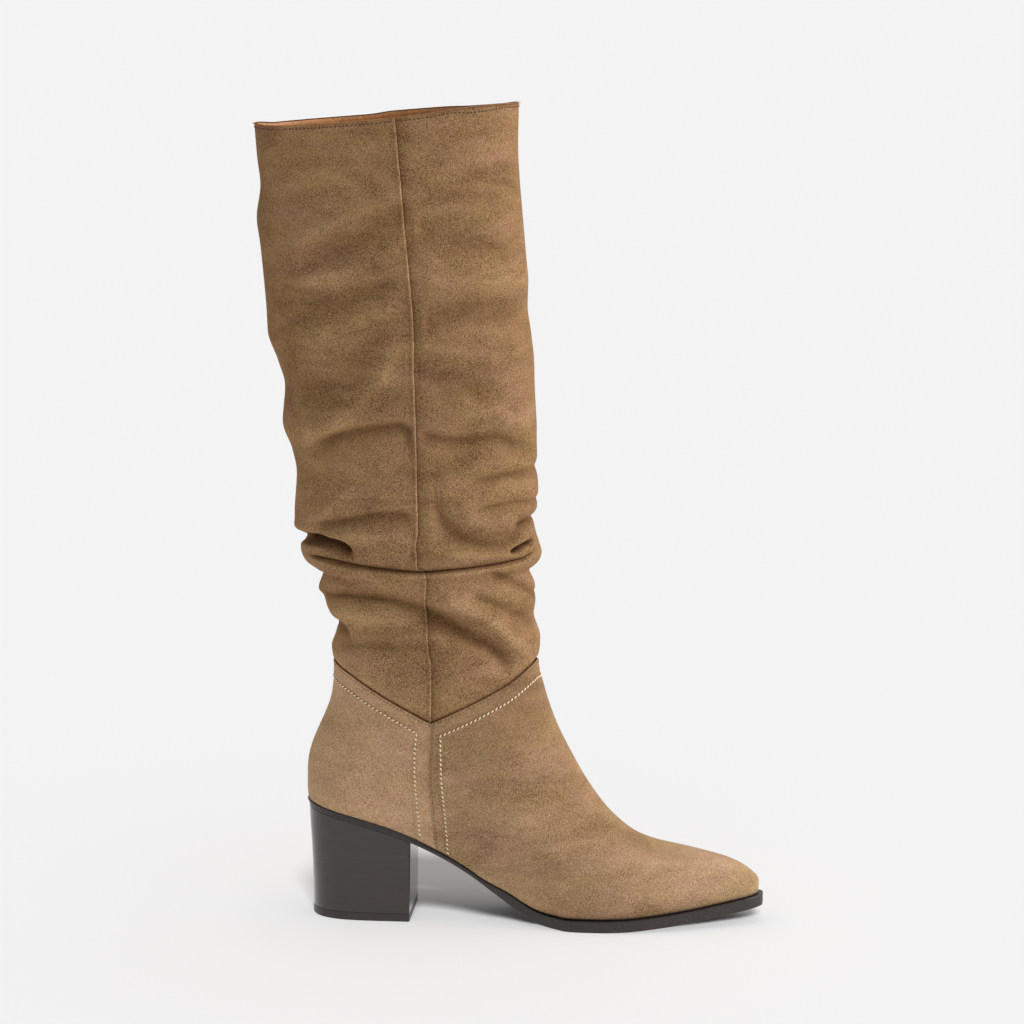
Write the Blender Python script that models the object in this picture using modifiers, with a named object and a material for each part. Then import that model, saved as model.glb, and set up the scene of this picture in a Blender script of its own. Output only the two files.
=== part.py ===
"""Slouch boot for the right foot: block heel, pointed toe, knee-high shaft in soft folds.

Metres, +Z up, +X towards the toe, -Y the outer side of the foot.
The origin is on the floor at the centre of the heel's tread.
"""

import functools
import math

import bmesh
import bpy
from mathutils import Vector

MM = 0.001

# Driving sizes of the foot
LENGTH = 260.0 * MM  # back of the heel seat to the tip of the outsole
BALL_WIDTH = 79.0 * MM  # featherline, across the ball
HEEL_HEIGHT = 62.5 * MM  # floor to the underside of the seat, at its back
ANKLE_BACK = 150.0 * MM  # floor to the ankle line, behind
ANKLE_FRONT = 148.0 * MM  # floor to the ankle line, in front
TOE_SPRING = 9.8 * MM

# Driving sizes of the shaft
COLLAR_BACK = 448.7 * MM  # floor to the collar, behind
COLLAR_FRONT = 461.6 * MM  # floor to the collar, in front
SHAFT_DEPTH = 147.5 * MM  # collar, front to back
SHAFT_WIDTH = 86.0 * MM  # collar, side to side
COLLAR_DIP = 2.4 * MM  # how far the collar hangs lower at both sides
SEAM_BELOW = 1.6 * MM  # ankle seam under the ankle line, behind and in front
SEAM_DIP = 30.8 * MM  # how far the ankle seam drops from there to each side
SEAM_PLACE = 0.505  # share of the depth where it is lowest, and where the side seam meets it
SEAM_SWEEP = 0.9  # 1 is a straight fall, less falls faster near its ends
LAP = 8.0 * MM  # how far the shaft reaches down inside the foot
SEAM_BLEND = 14.0 * MM  # height over which the shaft comes out to the foot's line

# Walls, steps and clearances
FOOT_WALL = 1.8 * MM
SHAFT_WALL = 1.6 * MM
GAP = 0.3 * MM
BED = 0.45 * MM  # upper and insole above the outsole's curved top
SEAM_RIDGE = 0.9 * MM
VAMP_STEP = 0.8 * MM
SEAM_HALF = 1.8 * MM
LIP = 1.2 * MM  # upright edge of the upper, all round the featherline

# Sole, heel and insole
FORE_SOLE = 6.5 * MM  # outsole under the ball and toe
SHANK_SOLE = 2.6 * MM  # outsole under the waist and the seat
TOE_MARGIN = 2.3 * MM  # outsole beyond the upper, round the forefoot
WAIST_INSET = 1.0 * MM  # outsole inside the upper, at the waist and the seat
HEEL_INSET = 1.8 * MM  # top of the heel block inside the upper
TREAD_LENGTH = 55.4 * MM
TREAD_WIDTH = 52.0 * MM
TREAD_SQUARE = 5.0  # how square the tread's back is; 2 is an ellipse
HEEL_SETBACK = 5.4 * MM  # tread's back, in front of the seat's back
SEAT_DEPTH = 61.2 * MM  # seat's back to the heel's breast
TIP_THICK = 4.6 * MM
INSOLE_THICK = 2.2 * MM
INSOLE_PLAY = 1.7 * MM  # between the insole's edge and the upper's inner face

SEAT_BACK = -TREAD_LENGTH / 2 - HEEL_SETBACK
UPPER_LENGTH = LENGTH - TOE_MARGIN

# Fineness of the faceted solids
AROUND = 44  # columns of faces round the upper and the shaft
STATIONS = 42  # steps along the outsole and the insole
FOOT_STEPS = 15  # rings from the featherline to where the shaft starts
LAP_STEPS = 2  # rings over the lap of foot and shaft
RISE_STEPS = 3  # rings from the ankle seam up to the first level section
CLOSE_FOLDS = 9  # sections of the shaft with a ring halfway up to them too
HEEL_STEPS = 14  # points along each side of the heel
HEEL_LEVELS = (0.0, 0.35, 0.65, 0.85, 1.0)
SHARP_ANGLE = 40  # degrees

# Underside of the sole: share of LENGTH, share of HEEL_HEIGHT
ARCH = (
    (0.000, 1.000),
    (0.121, 0.889),
    (0.237, 0.728),
    (0.302, 0.600),
    (0.367, 0.441),
    (0.433, 0.248),
    (0.479, 0.121),
    (0.521, 0.042),
    (0.575, 0.000),
)
SPRING_START = 0.66  # share of LENGTH where the toe starts to rise
SPRING_POWER = 1.4
SHANK_END, FORE_START = 0.38, 0.47  # shares between which the outsole thickens
WAIST_END, EDGE_START = 0.42, 0.56  # shares between which its edge comes out

# Featherline: share of its length, outer and inner half width as shares of BALL_WIDTH
OUTLINE = (
    (0.00, 0.348, 0.348),
    (0.13, 0.352, 0.348),
    (0.22, 0.345, 0.325),
    (0.32, 0.335, 0.285),
    (0.42, 0.360, 0.290),
    (0.52, 0.425, 0.365),
    (0.62, 0.485, 0.455),
    (0.70, 0.478, 0.500),
    (0.78, 0.420, 0.463),
    (0.86, 0.318, 0.365),
    (0.93, 0.200, 0.228),
    (0.97, 0.133, 0.142),
    (1.00, 0.095, 0.095),
)
HEEL_ROUND = 0.13  # share of the length over which the heel end is round
TOE_ROUND = 0.045
HEEL_BLUNT = 2.3
INSOLE_HEEL, INSOLE_TOE = 0.08, 0.03  # shares over which the insole narrows at its ends

# Sections of the foot, from the featherline to the ankle line. Each leans back from the
# vamp's ridge to the heel's back. Columns:
#   back, front    where it meets the back and the ridge, as shares of LENGTH
#   rise_b, rise_f its heights there, as shares of the way up to the ankle line
#   width          largest width, as a share of BALL_WIDTH
#   peak           share of its depth where it is widest
#   blunt_b, _f    how square its back and front are; 2 is an ellipse
#   outline        how much of the featherline's own outline it keeps
FOOT_SECTIONS = (
    # back,  rise_b, front,  rise_f, width, peak, blunt_b, blunt_f, outline
    (0.0020, 0.000, 0.9910, 0.000, 1.000, 0.62, 2.3, 2.0, 1.00),
    (0.0000, 0.106, 0.9890, 0.054, 1.045, 0.62, 2.3, 2.0, 0.97),
    (0.0000, 0.200, 0.9690, 0.104, 1.045, 0.61, 2.3, 2.0, 0.80),
    (0.0020, 0.282, 0.9340, 0.149, 1.020, 0.60, 2.4, 2.0, 0.58),
    (0.0080, 0.365, 0.8760, 0.186, 0.990, 0.59, 2.4, 2.0, 0.34),
    (0.0165, 0.441, 0.8000, 0.217, 0.960, 0.57, 2.5, 2.0, 0.16),
    (0.0270, 0.518, 0.7330, 0.262, 0.930, 0.55, 2.5, 2.0, 0.06),
    (0.0385, 0.600, 0.6650, 0.360, 0.910, 0.53, 2.5, 2.0, 0.00),
    (0.0480, 0.676, 0.6165, 0.475, 0.905, 0.51, 2.4, 2.0, 0.00),
    (0.0540, 0.753, 0.5750, 0.606, 0.910, 0.50, 2.4, 2.0, 0.00),
    (0.0565, 0.835, 0.5420, 0.730, 0.925, 0.50, 2.3, 2.0, 0.00),
    (0.0570, 0.918, 0.5165, 0.869, 0.940, 0.50, 2.2, 2.0, 0.00),
    (0.0560, 1.000, 0.5015, 1.000, 0.955, 0.50, 2.2, 2.0, 0.00),
)

# Sections of the shaft, a row for each crest and trough of its folds. Columns:
#   up_b, up_f     heights behind and in front, as shares of the shaft
#   out_b, out_f   how far it stands out beyond the ankle line, as shares of SHAFT_DEPTH
#   width          as a share of SHAFT_WIDTH
#   seam           share of its depth at which the side seam crosses it
SHAFT_SECTIONS = (
    # up_b, up_f,  out_b,  out_f,  width, seam
    (0.017, 0.041, 0.004, 0.010, 0.895, 0.493),
    (0.052, 0.086, -0.013, -0.014, 0.855, 0.491),
    (0.114, 0.126, 0.064, -0.002, 0.920, 0.520),
    (0.150, 0.161, 0.030, -0.034, 0.870, 0.525),
    (0.166, 0.172, 0.066, -0.016, 0.905, 0.525),
    (0.190, 0.194, 0.123, 0.015, 0.940, 0.511),
    (0.222, 0.216, 0.102, -0.003, 0.905, 0.500),
    (0.248, 0.252, 0.146, -0.018, 0.905, 0.535),
    (0.275, 0.293, 0.150, -0.002, 0.935, 0.533),
    (0.342, 0.351, 0.142, -0.007, 0.940, 0.528),
    (0.388, 0.395, 0.159, -0.011, 0.950, 0.537),
    (0.442, 0.440, 0.196, -0.014, 0.985, 0.554),
    (0.506, 0.491, 0.187, -0.020, 0.970, 0.548),
    (0.556, 0.542, 0.214, -0.024, 0.985, 0.559),
    (0.609, 0.590, 0.253, -0.035, 0.990, 0.582),
    (0.653, 0.644, 0.258, -0.045, 0.995, 0.585),
    (0.770, 0.753, 0.281, -0.062, 1.000, 0.582),
    (0.825, 0.810, 0.295, -0.074, 1.005, 0.583),
    (0.884, 0.867, 0.281, -0.085, 1.000, 0.573),
    (0.937, 0.931, 0.293, -0.092, 1.000, 0.570),
    (1.000, 1.000, 0.304, -0.090, 1.000, 0.562),
)
SHAFT_PEAK = 0.5
SHAFT_BLUNT = 2.15
COLLAR_REACH = 3.0  # sections below the collar that dip with it
SEAM_TURN = 0.25  # turn at which the outer side seam runs; the inner one runs at 1 - SEAM_TURN


def through(knots, values, at):
    """A smooth curve through the values that never swings past them."""
    if at <= knots[0]:
        return values[0]
    if at >= knots[-1]:
        return values[-1]
    k = max(i for i in range(len(knots) - 1) if knots[i] <= at)
    run = [knots[i + 1] - knots[i] for i in range(len(knots) - 1)]
    rise = [(values[i + 1] - values[i]) / run[i] for i in range(len(run))]

    def slope(i):
        if i == 0:
            return rise[0]
        if i == len(run):
            return rise[-1]
        if rise[i - 1] * rise[i] <= 0:
            return 0.0
        return (run[i - 1] + run[i]) / (run[i - 1] / rise[i] + run[i] / rise[i - 1])

    s = (at - knots[k]) / run[k]
    return (
        (2 * s**3 - 3 * s**2 + 1) * values[k]
        + (s**3 - 2 * s**2 + s) * run[k] * slope(k)
        + (3 * s**2 - 2 * s**3) * values[k + 1]
        + (s**3 - s**2) * run[k] * slope(k + 1)
    )


def column(table, index):
    return [row[index] for row in table]


def ease(low, high, at):
    s = min(1.0, max(0.0, (at - low) / (high - low)))
    return s * s * (3 - 2 * s)


def sole_under(x):
    """Height of the outsole's underside at x."""
    share = (x - SEAT_BACK) / LENGTH
    arch = HEEL_HEIGHT * through(column(ARCH, 0), column(ARCH, 1), share)
    past = max(0.0, (share - SPRING_START) / (1 - SPRING_START))
    return arch + TOE_SPRING * past**SPRING_POWER


def sole_over(x):
    """Height of the outsole's upper face at x, where the upper and the insole sit."""
    share = (x - SEAT_BACK) / LENGTH
    return sole_under(x) + SHANK_SOLE + (FORE_SOLE - SHANK_SOLE) * ease(SHANK_END, FORE_START, share)


def outline(share, side):
    """Half width of the featherline at a share of its length; side is -1 outside, 1 inside."""
    half = BALL_WIDTH * through(column(OUTLINE, 0), column(OUTLINE, 1 if side < 0 else 2), share)
    if share < HEEL_ROUND:
        half *= (1 - (1 - share / HEEL_ROUND) ** HEEL_BLUNT) ** 0.5
    if share > 1 - TOE_ROUND:
        half *= max(0.0, 1 - ((share - 1 + TOE_ROUND) / TOE_ROUND) ** 2) ** 0.5
    return half


def oval(share, peak, blunt_back, blunt_front):
    """Half width of a round section, 1 at its peak and 0 at both ends."""
    if share < peak:
        return max(0.0, 1 - ((peak - share) / peak) ** blunt_back) ** 0.5
    return max(0.0, 1 - ((share - peak) / (1 - peak)) ** blunt_front) ** 0.5


def section_rows():
    """Every section of foot and shaft in real sizes, lowest first."""
    seat = sole_over(SEAT_BACK) + BED
    tip = sole_over(SEAT_BACK + UPPER_LENGTH) + BED
    heel, instep = (SEAT_BACK + FOOT_SECTIONS[-1][i] * LENGTH for i in (0, 2))
    seam_x = heel + SEAM_PLACE * (instep - heel)
    rows = []
    for back, rise_b, front, rise_f, width, peak, blunt_b, blunt_f, keep in FOOT_SECTIONS:
        rows.append(
            (
                SEAT_BACK + back * LENGTH,
                seat + rise_b * (ANKLE_BACK - seat),
                SEAT_BACK + front * LENGTH,
                tip + rise_f * (ANKLE_FRONT - tip),
                width * BALL_WIDTH / 2,
                peak,
                blunt_b,
                blunt_f,
                keep,
                ((seam_x - SEAT_BACK) / LENGTH - back) / (front - back),
            )
        )
    for up_b, up_f, out_b, out_f, width, seam in SHAFT_SECTIONS:
        rows.append(
            (
                heel - out_b * SHAFT_DEPTH,
                ANKLE_BACK + up_b * (COLLAR_BACK - ANKLE_BACK),
                instep + out_f * SHAFT_DEPTH,
                ANKLE_FRONT + up_f * (COLLAR_FRONT - ANKLE_FRONT),
                width * SHAFT_WIDTH / 2,
                SHAFT_PEAK,
                SHAFT_BLUNT,
                SHAFT_BLUNT,
                0.0,
                seam,
            )
        )
    return rows


ROWS = section_rows()
ANKLE_ROW = len(FOOT_SECTIONS) - 1
COLLAR_ROW = len(ROWS) - 1


def section_at(row):
    """A section's sizes at any height, counted in rows."""
    knots = list(range(len(ROWS)))
    low = max(0, min(len(ROWS) - 6, int(row) - 2))
    near = slice(low, low + 6)
    return [through(knots[near], column(ROWS[near], i), row) for i in range(len(ROWS[0]))]


def share_at(turn, seam):
    """Share of a section's depth at a turn, with the side seam's turn held to the seam's own share."""
    half = min(turn % 1, 1 - turn % 1)
    seam_half = math.acos(1 - 2 * seam) / (2 * math.pi)
    if half < SEAM_TURN:
        half *= seam_half / SEAM_TURN
    else:
        half = seam_half + (half - SEAM_TURN) * (0.5 - seam_half) / (0.5 - SEAM_TURN)
    return (1 - math.cos(2 * math.pi * half)) / 2


def skin(turn, row):
    """A point of the boot's outer form: turn runs from the back (0) round the outer side to the front (0.5)."""
    back, back_z, front, front_z, half, peak, blunt_b, blunt_f, keep, seam = section_at(row)
    share = share_at(turn, seam)
    side = -1 if turn % 1 < 0.5 else 1
    x = back + share * (front - back)
    level = back_z + share * (front_z - back_z)
    round_half = half * oval(share, peak, blunt_b, blunt_f)
    foot_half = (half * 2 / BALL_WIDTH) * outline(share, side)
    feather = sole_over(x) + BED
    straight = ROWS[0][1] + share * (ROWS[0][3] - ROWS[0][1])
    follow = 1 - ease(0, ANKLE_ROW, row)
    dip = COLLAR_DIP * 4 * share * (1 - share) * ease(COLLAR_ROW - COLLAR_REACH, COLLAR_ROW, row)
    return Vector(
        (
            x,
            side * (keep * foot_half + (1 - keep) * round_half),
            level + follow * (feather - straight) - dip,
        )
    )


def outward(turn, row):
    """The outer form's normal, from close neighbours."""
    step_turn, step_row = 0.004, 0.04
    low, high = max(0.0, row - step_row), min(COLLAR_ROW, row + step_row)
    along = skin(turn + step_turn, row) - skin(turn - step_turn, row)
    up = skin(turn, high) - skin(turn, low)
    return along.cross(up).normalized()


def seam_height(x):
    """Height of the ankle seam at x: highest in front and behind, lowest at the sides."""
    back, front = ROWS[ANKLE_ROW][0], ROWS[ANKLE_ROW][2]
    share = min(1.0, max(0.0, (x - back) / (front - back)))
    reach = share / SEAM_PLACE if share < SEAM_PLACE else (1 - share) / (1 - SEAM_PLACE)
    ends = ANKLE_BACK + share * (ANKLE_FRONT - ANKLE_BACK) - SEAM_BELOW
    return ends - SEAM_DIP * reach**SEAM_SWEEP


@functools.cache
def row_of_seam(turn, lower):
    """The row at which a column meets the ankle seam, or a line that far below it."""
    low, high = 2.0, ANKLE_ROW + 2.0
    for _ in range(30):
        middle = (low + high) / 2
        point = skin(turn, middle)
        if point.z < seam_height(point.x) - lower:
            low = middle
        else:
            high = middle
    return (low + high) / 2


def turns():
    """Where the columns stand, with close ones on both edges of each side seam."""
    even = [i / AROUND for i in range(AROUND)]
    crowded = 0.75 / AROUND
    edge = seam_edge()
    kept = [t for t in even if seam_distance(t) > crowded]
    for middle in (SEAM_TURN, 1 - SEAM_TURN):
        kept += [middle - edge, middle, middle + edge]
    return sorted(kept)


def seam_edge():
    """Half the side seam's width, as a share of the way round."""
    return SEAM_HALF / (math.pi * SHAFT_DEPTH)


def seam_distance(turn):
    return min(abs(turn - SEAM_TURN), abs(turn - 1 + SEAM_TURN))


def raised_seam(turn):
    """The shaft's side seam stands up as a narrow ridge."""
    return SEAM_RIDGE if seam_distance(turn) < seam_edge() / 2 else 0.0


def vamp_step(turn):
    """In front of the side seam the vamp lies over the quarter."""
    slack = seam_edge() / 2
    return VAMP_STEP if SEAM_TURN - slack < turn < 1 - SEAM_TURN + slack else 0.0


def shell(name, grid, wall, finish):
    """A hollow wall: rings of outer points, given a thickness inwards."""
    mesh = bpy.data.meshes.new(name)
    shape = bmesh.new()
    rings = [[shape.verts.new(point) for point in ring] for ring in grid]
    for low, high in zip(rings, rings[1:]):
        for i in range(len(low)):
            j = (i + 1) % len(low)
            shape.faces.new((low[i], low[j], high[j], high[i]))
    shape.to_mesh(mesh)
    shape.free()
    piece = add_object(name, mesh, finish)
    thicken = piece.modifiers.new("wall", "SOLIDIFY")
    thicken.thickness = wall
    thicken.offset = -1
    return piece


def add_object(name, mesh, finish):
    mesh.materials.append(finish)
    mesh.shade_smooth()
    mesh.set_sharp_from_angle(angle=math.radians(SHARP_ANGLE))
    piece = bpy.data.objects.new(name, mesh)
    BOOT.objects.link(piece)
    return piece


def make_upper(finish):
    """Vamp and quarter of the foot as one wall, open underneath and at the ankle seam."""
    grid = []
    for k in range(FOOT_STEPS + LAP_STEPS + 1):
        ring = []
        for turn in turns():
            seam, under = row_of_seam(turn, 0.0), row_of_seam(turn, LAP)
            if k <= FOOT_STEPS:
                row = under * k / FOOT_STEPS
            else:
                row = under + (seam - under) * (k - FOOT_STEPS) / LAP_STEPS
            lift = vamp_step(turn) * ease(0, 2.0, row)
            ring.append(skin(turn, row) + lift * outward(turn, row))
        grid.append(ring)
    grid.insert(1, [point + Vector((0, 0, LIP)) for point in grid[0]])
    return shell("upper", grid, FOOT_WALL, finish)


def make_shaft(finish):
    """The leg: a folded tube that starts inside the foot's top edge and ends at the collar."""
    grid = []
    start = ANKLE_ROW + 1
    above = list(range(start + 1, COLLAR_ROW + 1))
    halfway = [row - 0.5 for row in above[:CLOSE_FOLDS]]
    for k in range(LAP_STEPS + RISE_STEPS):
        ring = []
        for turn in turns():
            seam, under = row_of_seam(turn, 0.0), row_of_seam(turn, LAP)
            if k <= LAP_STEPS:
                row = under + (seam - under) * k / LAP_STEPS
            else:
                row = seam + (start - seam) * (k - LAP_STEPS) / RISE_STEPS
            ring.append(shaft_point(turn, row, seam))
        grid.append(ring)
    for row in sorted([start] + halfway + above):
        grid.append([shaft_point(turn, row, row_of_seam(turn, 0.0)) for turn in turns()])
    return shell("shaft", grid, SHAFT_WALL, finish)


def shaft_point(turn, row, seam):
    """A point of the shaft: under the foot's wall up to the seam, then out to the boot's form."""
    point = skin(turn, row)
    above = point.z - skin(turn, seam).z
    tuck = (FOOT_WALL + GAP) * (1 - ease(0.0, SEAM_BLEND, above))
    ridge = raised_seam(turn) * ease(0.0, SEAM_BLEND, above)
    return point + (ridge - tuck) * outward(turn, row)


def station_shares(count):
    """Shares of a length, closer together at both ends."""
    return [(1 - math.cos(math.pi * k / count)) / 2 for k in range(count + 1)]


def slab(name, stations, finish):
    """A solid between an upper and a lower face: (x, outer half, inner half, low, high) at each station."""
    mesh = bpy.data.meshes.new(name)
    shape = bmesh.new()
    corners = []
    for x, outer, inner, low, high in stations:
        if outer + inner < 0.02 * MM:
            high_point = shape.verts.new((x, 0, high))
            low_point = shape.verts.new((x, 0, low))
            corners.append((high_point, high_point, low_point, low_point))
        else:
            corners.append(
                tuple(
                    shape.verts.new(place)
                    for place in ((x, -outer, high), (x, inner, high), (x, -outer, low), (x, inner, low))
                )
            )
    for (a, b, c, d), (e, f, g, h) in zip(corners, corners[1:]):
        for face in ((a, e, f, b), (c, d, h, g), (a, c, g, e), (b, f, h, d)):
            seen = list(dict.fromkeys(face))
            if len(seen) > 2:
                shape.faces.new(seen)
    for a, b, c, d in (corners[0], corners[-1]):
        if a is not b:
            shape.faces.new((a, b, d, c))
    bmesh.ops.recalc_face_normals(shape, faces=shape.faces)
    shape.to_mesh(mesh)
    shape.free()
    return add_object(name, mesh, finish)


def sole_margin(share):
    """How far the outsole's edge stands beyond the featherline."""
    fore = ease(WAIST_END, EDGE_START, share)
    return TOE_MARGIN * fore - WAIST_INSET * ease(0, HEEL_ROUND / 2, share) * (1 - fore)


def make_outsole(finish):
    start, end = SEAT_BACK + WAIST_INSET, SEAT_BACK + LENGTH
    flat_x = SEAT_BACK + ARCH[-1][0] * LENGTH
    flat_share = (flat_x - start) / (end - start)
    stations = []
    for share in sorted(station_shares(STATIONS) + [flat_share]):
        x = start + share * (end - start)
        edge = sole_margin(share) if 0 < share < 1 else 0.0
        outer = outline(share, -1) + edge
        inner = outline(share, 1) + edge
        stations.append((x, outer, inner, sole_under(x), sole_over(x)))
    return slab("outsole", stations, finish)


def make_insole(finish):
    inset = FOOT_WALL + INSOLE_PLAY
    stations = []
    start, end = SEAT_BACK + inset, SEAT_BACK + UPPER_LENGTH - 2 * inset
    for share in station_shares(STATIONS):
        x = start + share * (end - start)
        edge = inset * ease(0, INSOLE_HEEL, share) * ease(0, INSOLE_TOE, 1 - share)
        outer = outline(share, -1) - edge
        inner = outline(share, 1) - edge
        under = sole_over(x) + BED
        stations.append((x, outer, inner, under, under + INSOLE_THICK))
    return slab("insole", stations, finish)


def heel_ring(level, shape):
    """A ring of the heel at a share of its height: 0 at the tread, 1 under the seat."""
    seat_back = SEAT_BACK + HEEL_INSET
    back = seat_back + (HEEL_SETBACK - HEEL_INSET) * (1 - level)
    breast = TREAD_LENGTH / 2 + (SEAT_BACK + SEAT_DEPTH - TREAD_LENGTH / 2) * level
    outer, inner = [], []
    for k in range(HEEL_STEPS + 1):
        share = 1 - math.cos(0.5 * math.pi * k / HEEL_STEPS)
        x = back + share * (breast - back)
        z = TIP_THICK + GAP + level * (sole_under(x) - TIP_THICK - 2 * GAP)
        seat_share = (x - seat_back) / UPPER_LENGTH
        narrower = HEEL_INSET * ease(0, HEEL_ROUND / 2, seat_share)
        tread_half = TREAD_WIDTH / 2 * (1 - (1 - share) ** TREAD_SQUARE) ** 0.5
        for side, points in ((-1, outer), (1, inner)):
            seat_half = outline(seat_share, side) - narrower if k > 0 else 0.0
            half = tread_half + (seat_half - tread_half) * level
            points.append(Vector((x, side * half, z)))
    return [shape.verts.new(point) for point in outer + inner[:0:-1]]


def close_ring(shape, ring):
    """Fills a heel ring with strips from side to side."""
    count = len(ring)
    half = count // 2
    shape.faces.new((ring[0], ring[1], ring[-1]))
    for k in range(1, half):
        shape.faces.new((ring[k], ring[k + 1], ring[count - k - 1], ring[count - k]))


def make_heel(finish):
    """The stacked block, lofted from the tread's plan to the seat's."""
    mesh = bpy.data.meshes.new("heel")
    shape = bmesh.new()
    rings = [heel_ring(level, shape) for level in HEEL_LEVELS]
    for low, high in zip(rings, rings[1:]):
        for i in range(len(low)):
            j = (i + 1) % len(low)
            shape.faces.new((low[i], low[j], high[j], high[i]))
    close_ring(shape, rings[0])
    close_ring(shape, rings[-1])
    bmesh.ops.recalc_face_normals(shape, faces=shape.faces)
    shape.to_mesh(mesh)
    shape.free()
    return add_object("heel", mesh, finish)


def make_heel_tip(finish):
    """The wearing piece nailed under the heel."""
    mesh = bpy.data.meshes.new("heel_tip")
    shape = bmesh.new()
    tread = heel_ring(0.0, shape)
    for corner in tread:
        corner.co.z = TIP_THICK
    floor = [shape.verts.new((corner.co.x, corner.co.y, 0.0)) for corner in tread]
    for i in range(len(tread)):
        j = (i + 1) % len(tread)
        shape.faces.new((floor[i], floor[j], tread[j], tread[i]))
    close_ring(shape, tread)
    close_ring(shape, floor)
    bmesh.ops.recalc_face_normals(shape, faces=shape.faces)
    shape.to_mesh(mesh)
    shape.free()
    return add_object("heel_tip", mesh, finish)


def material(name, colour, roughness):
    made = bpy.data.materials.new(name)
    made.use_nodes = True
    shader = made.node_tree.nodes["Principled BSDF"]
    shader.inputs["Base Color"].default_value = (*colour, 1.0)
    shader.inputs["Roughness"].default_value = roughness
    shader.inputs["Metallic"].default_value = 0.0
    return made


for leftover in list(bpy.data.objects):
    bpy.data.objects.remove(leftover)

BOOT = bpy.data.collections.new("slouch_boot")
bpy.context.scene.collection.children.link(BOOT)

suede = material("suede", (0.29, 0.19, 0.11), 0.95)
leg_suede = material("leg_suede", (0.26, 0.17, 0.095), 0.95)
stacked = material("stacked_heel", (0.055, 0.045, 0.042), 0.3)
sole_leather = material("sole_leather", (0.06, 0.05, 0.047), 0.45)
tip_rubber = material("tip_rubber", (0.06, 0.05, 0.047), 0.6)
lining = material("lining_leather", (0.52, 0.27, 0.13), 0.6)

make_outsole(sole_leather)
make_heel(stacked)
make_heel_tip(tip_rubber)
make_insole(lining)
make_upper(suede)
make_shaft(leg_suede)
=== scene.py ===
import math
import bpy
import numpy as np
from mathutils import Matrix, Vector


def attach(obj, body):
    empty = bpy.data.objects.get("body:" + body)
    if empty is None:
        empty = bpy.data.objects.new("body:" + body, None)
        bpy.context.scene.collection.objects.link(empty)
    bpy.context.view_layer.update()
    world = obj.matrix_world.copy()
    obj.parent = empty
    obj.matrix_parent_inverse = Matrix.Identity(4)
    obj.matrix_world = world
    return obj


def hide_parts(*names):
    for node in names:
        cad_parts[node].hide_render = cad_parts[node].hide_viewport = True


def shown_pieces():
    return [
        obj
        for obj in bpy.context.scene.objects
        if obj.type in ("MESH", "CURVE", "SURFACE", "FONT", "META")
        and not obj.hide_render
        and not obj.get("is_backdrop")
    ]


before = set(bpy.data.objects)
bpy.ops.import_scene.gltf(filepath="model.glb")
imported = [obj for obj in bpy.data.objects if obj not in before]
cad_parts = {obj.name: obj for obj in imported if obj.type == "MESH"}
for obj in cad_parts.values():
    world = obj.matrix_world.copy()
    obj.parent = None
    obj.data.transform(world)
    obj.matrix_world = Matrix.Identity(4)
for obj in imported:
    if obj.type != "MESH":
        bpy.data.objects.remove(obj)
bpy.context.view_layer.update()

mm = 0.001

# Sizes of the last, in millimetres, as the solids have them
last = {
    "length": 260.0,
    "ballWidth": 79.0,
    "heelHeight": 62.5,
    "ankleBack": 150.0,
    "ankleFront": 148.0,
    "toeSpring": 9.8,
    "springStart": 0.66,
    "springPower": 1.4,
    "foreSole": 6.5,
    "shankSole": 2.6,
    "bed": 0.15,
    "toeMargin": 2.3,
    "waistInset": 1.0,
    "treadLength": 55.4,
    "treadWidth": 52.0,
    "treadSquare": 5.0,
    "heelSetback": 3.7,
    "heelInset": 1.2,
    "seatDepth": 61.2,
    "tipThick": 4.6,
    "heelRound": 0.13,
    "heelBlunt": 2.3,
    "toeRound": 0.045,
}
seatBack = -33.1  # where the last's back lies, in x
upperLength = last["length"] - last["toeMargin"]

# Sizes of the leg, in millimetres
leg = {
    "collarBack": 448.7,
    "collarFront": 461.6,
    "depth": 147.5,
    "width": 86.0,
    "dip": 0.8,
    "dipRows": 3.0,
    "blunt": 2.15,
    "seamBelow": 1.6,
    "seamDip": 30.8,
    "seamEnds": (-1.6, 1.9),
    "seamPlace": 0.505,
    "seamSweep": 0.9,
}

# Underside of the sole: share of the length, share of the heel's height
archTable = [
    (0.000, 1.000), (0.121, 0.889), (0.237, 0.728), (0.302, 0.600), (0.367, 0.441),
    (0.433, 0.248), (0.479, 0.121), (0.521, 0.042), (0.575, 0.000),
]
# Featherline: share of its length, outer and inner half width as shares of the ball's width
outlineTable = [
    (0.00, 0.348, 0.348), (0.13, 0.352, 0.348), (0.22, 0.345, 0.325), (0.32, 0.335, 0.285),
    (0.42, 0.360, 0.290), (0.52, 0.425, 0.365), (0.62, 0.485, 0.455), (0.70, 0.478, 0.500),
    (0.78, 0.420, 0.463), (0.86, 0.318, 0.365), (0.93, 0.200, 0.228), (0.97, 0.133, 0.142),
    (1.00, 0.095, 0.095),
]
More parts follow.
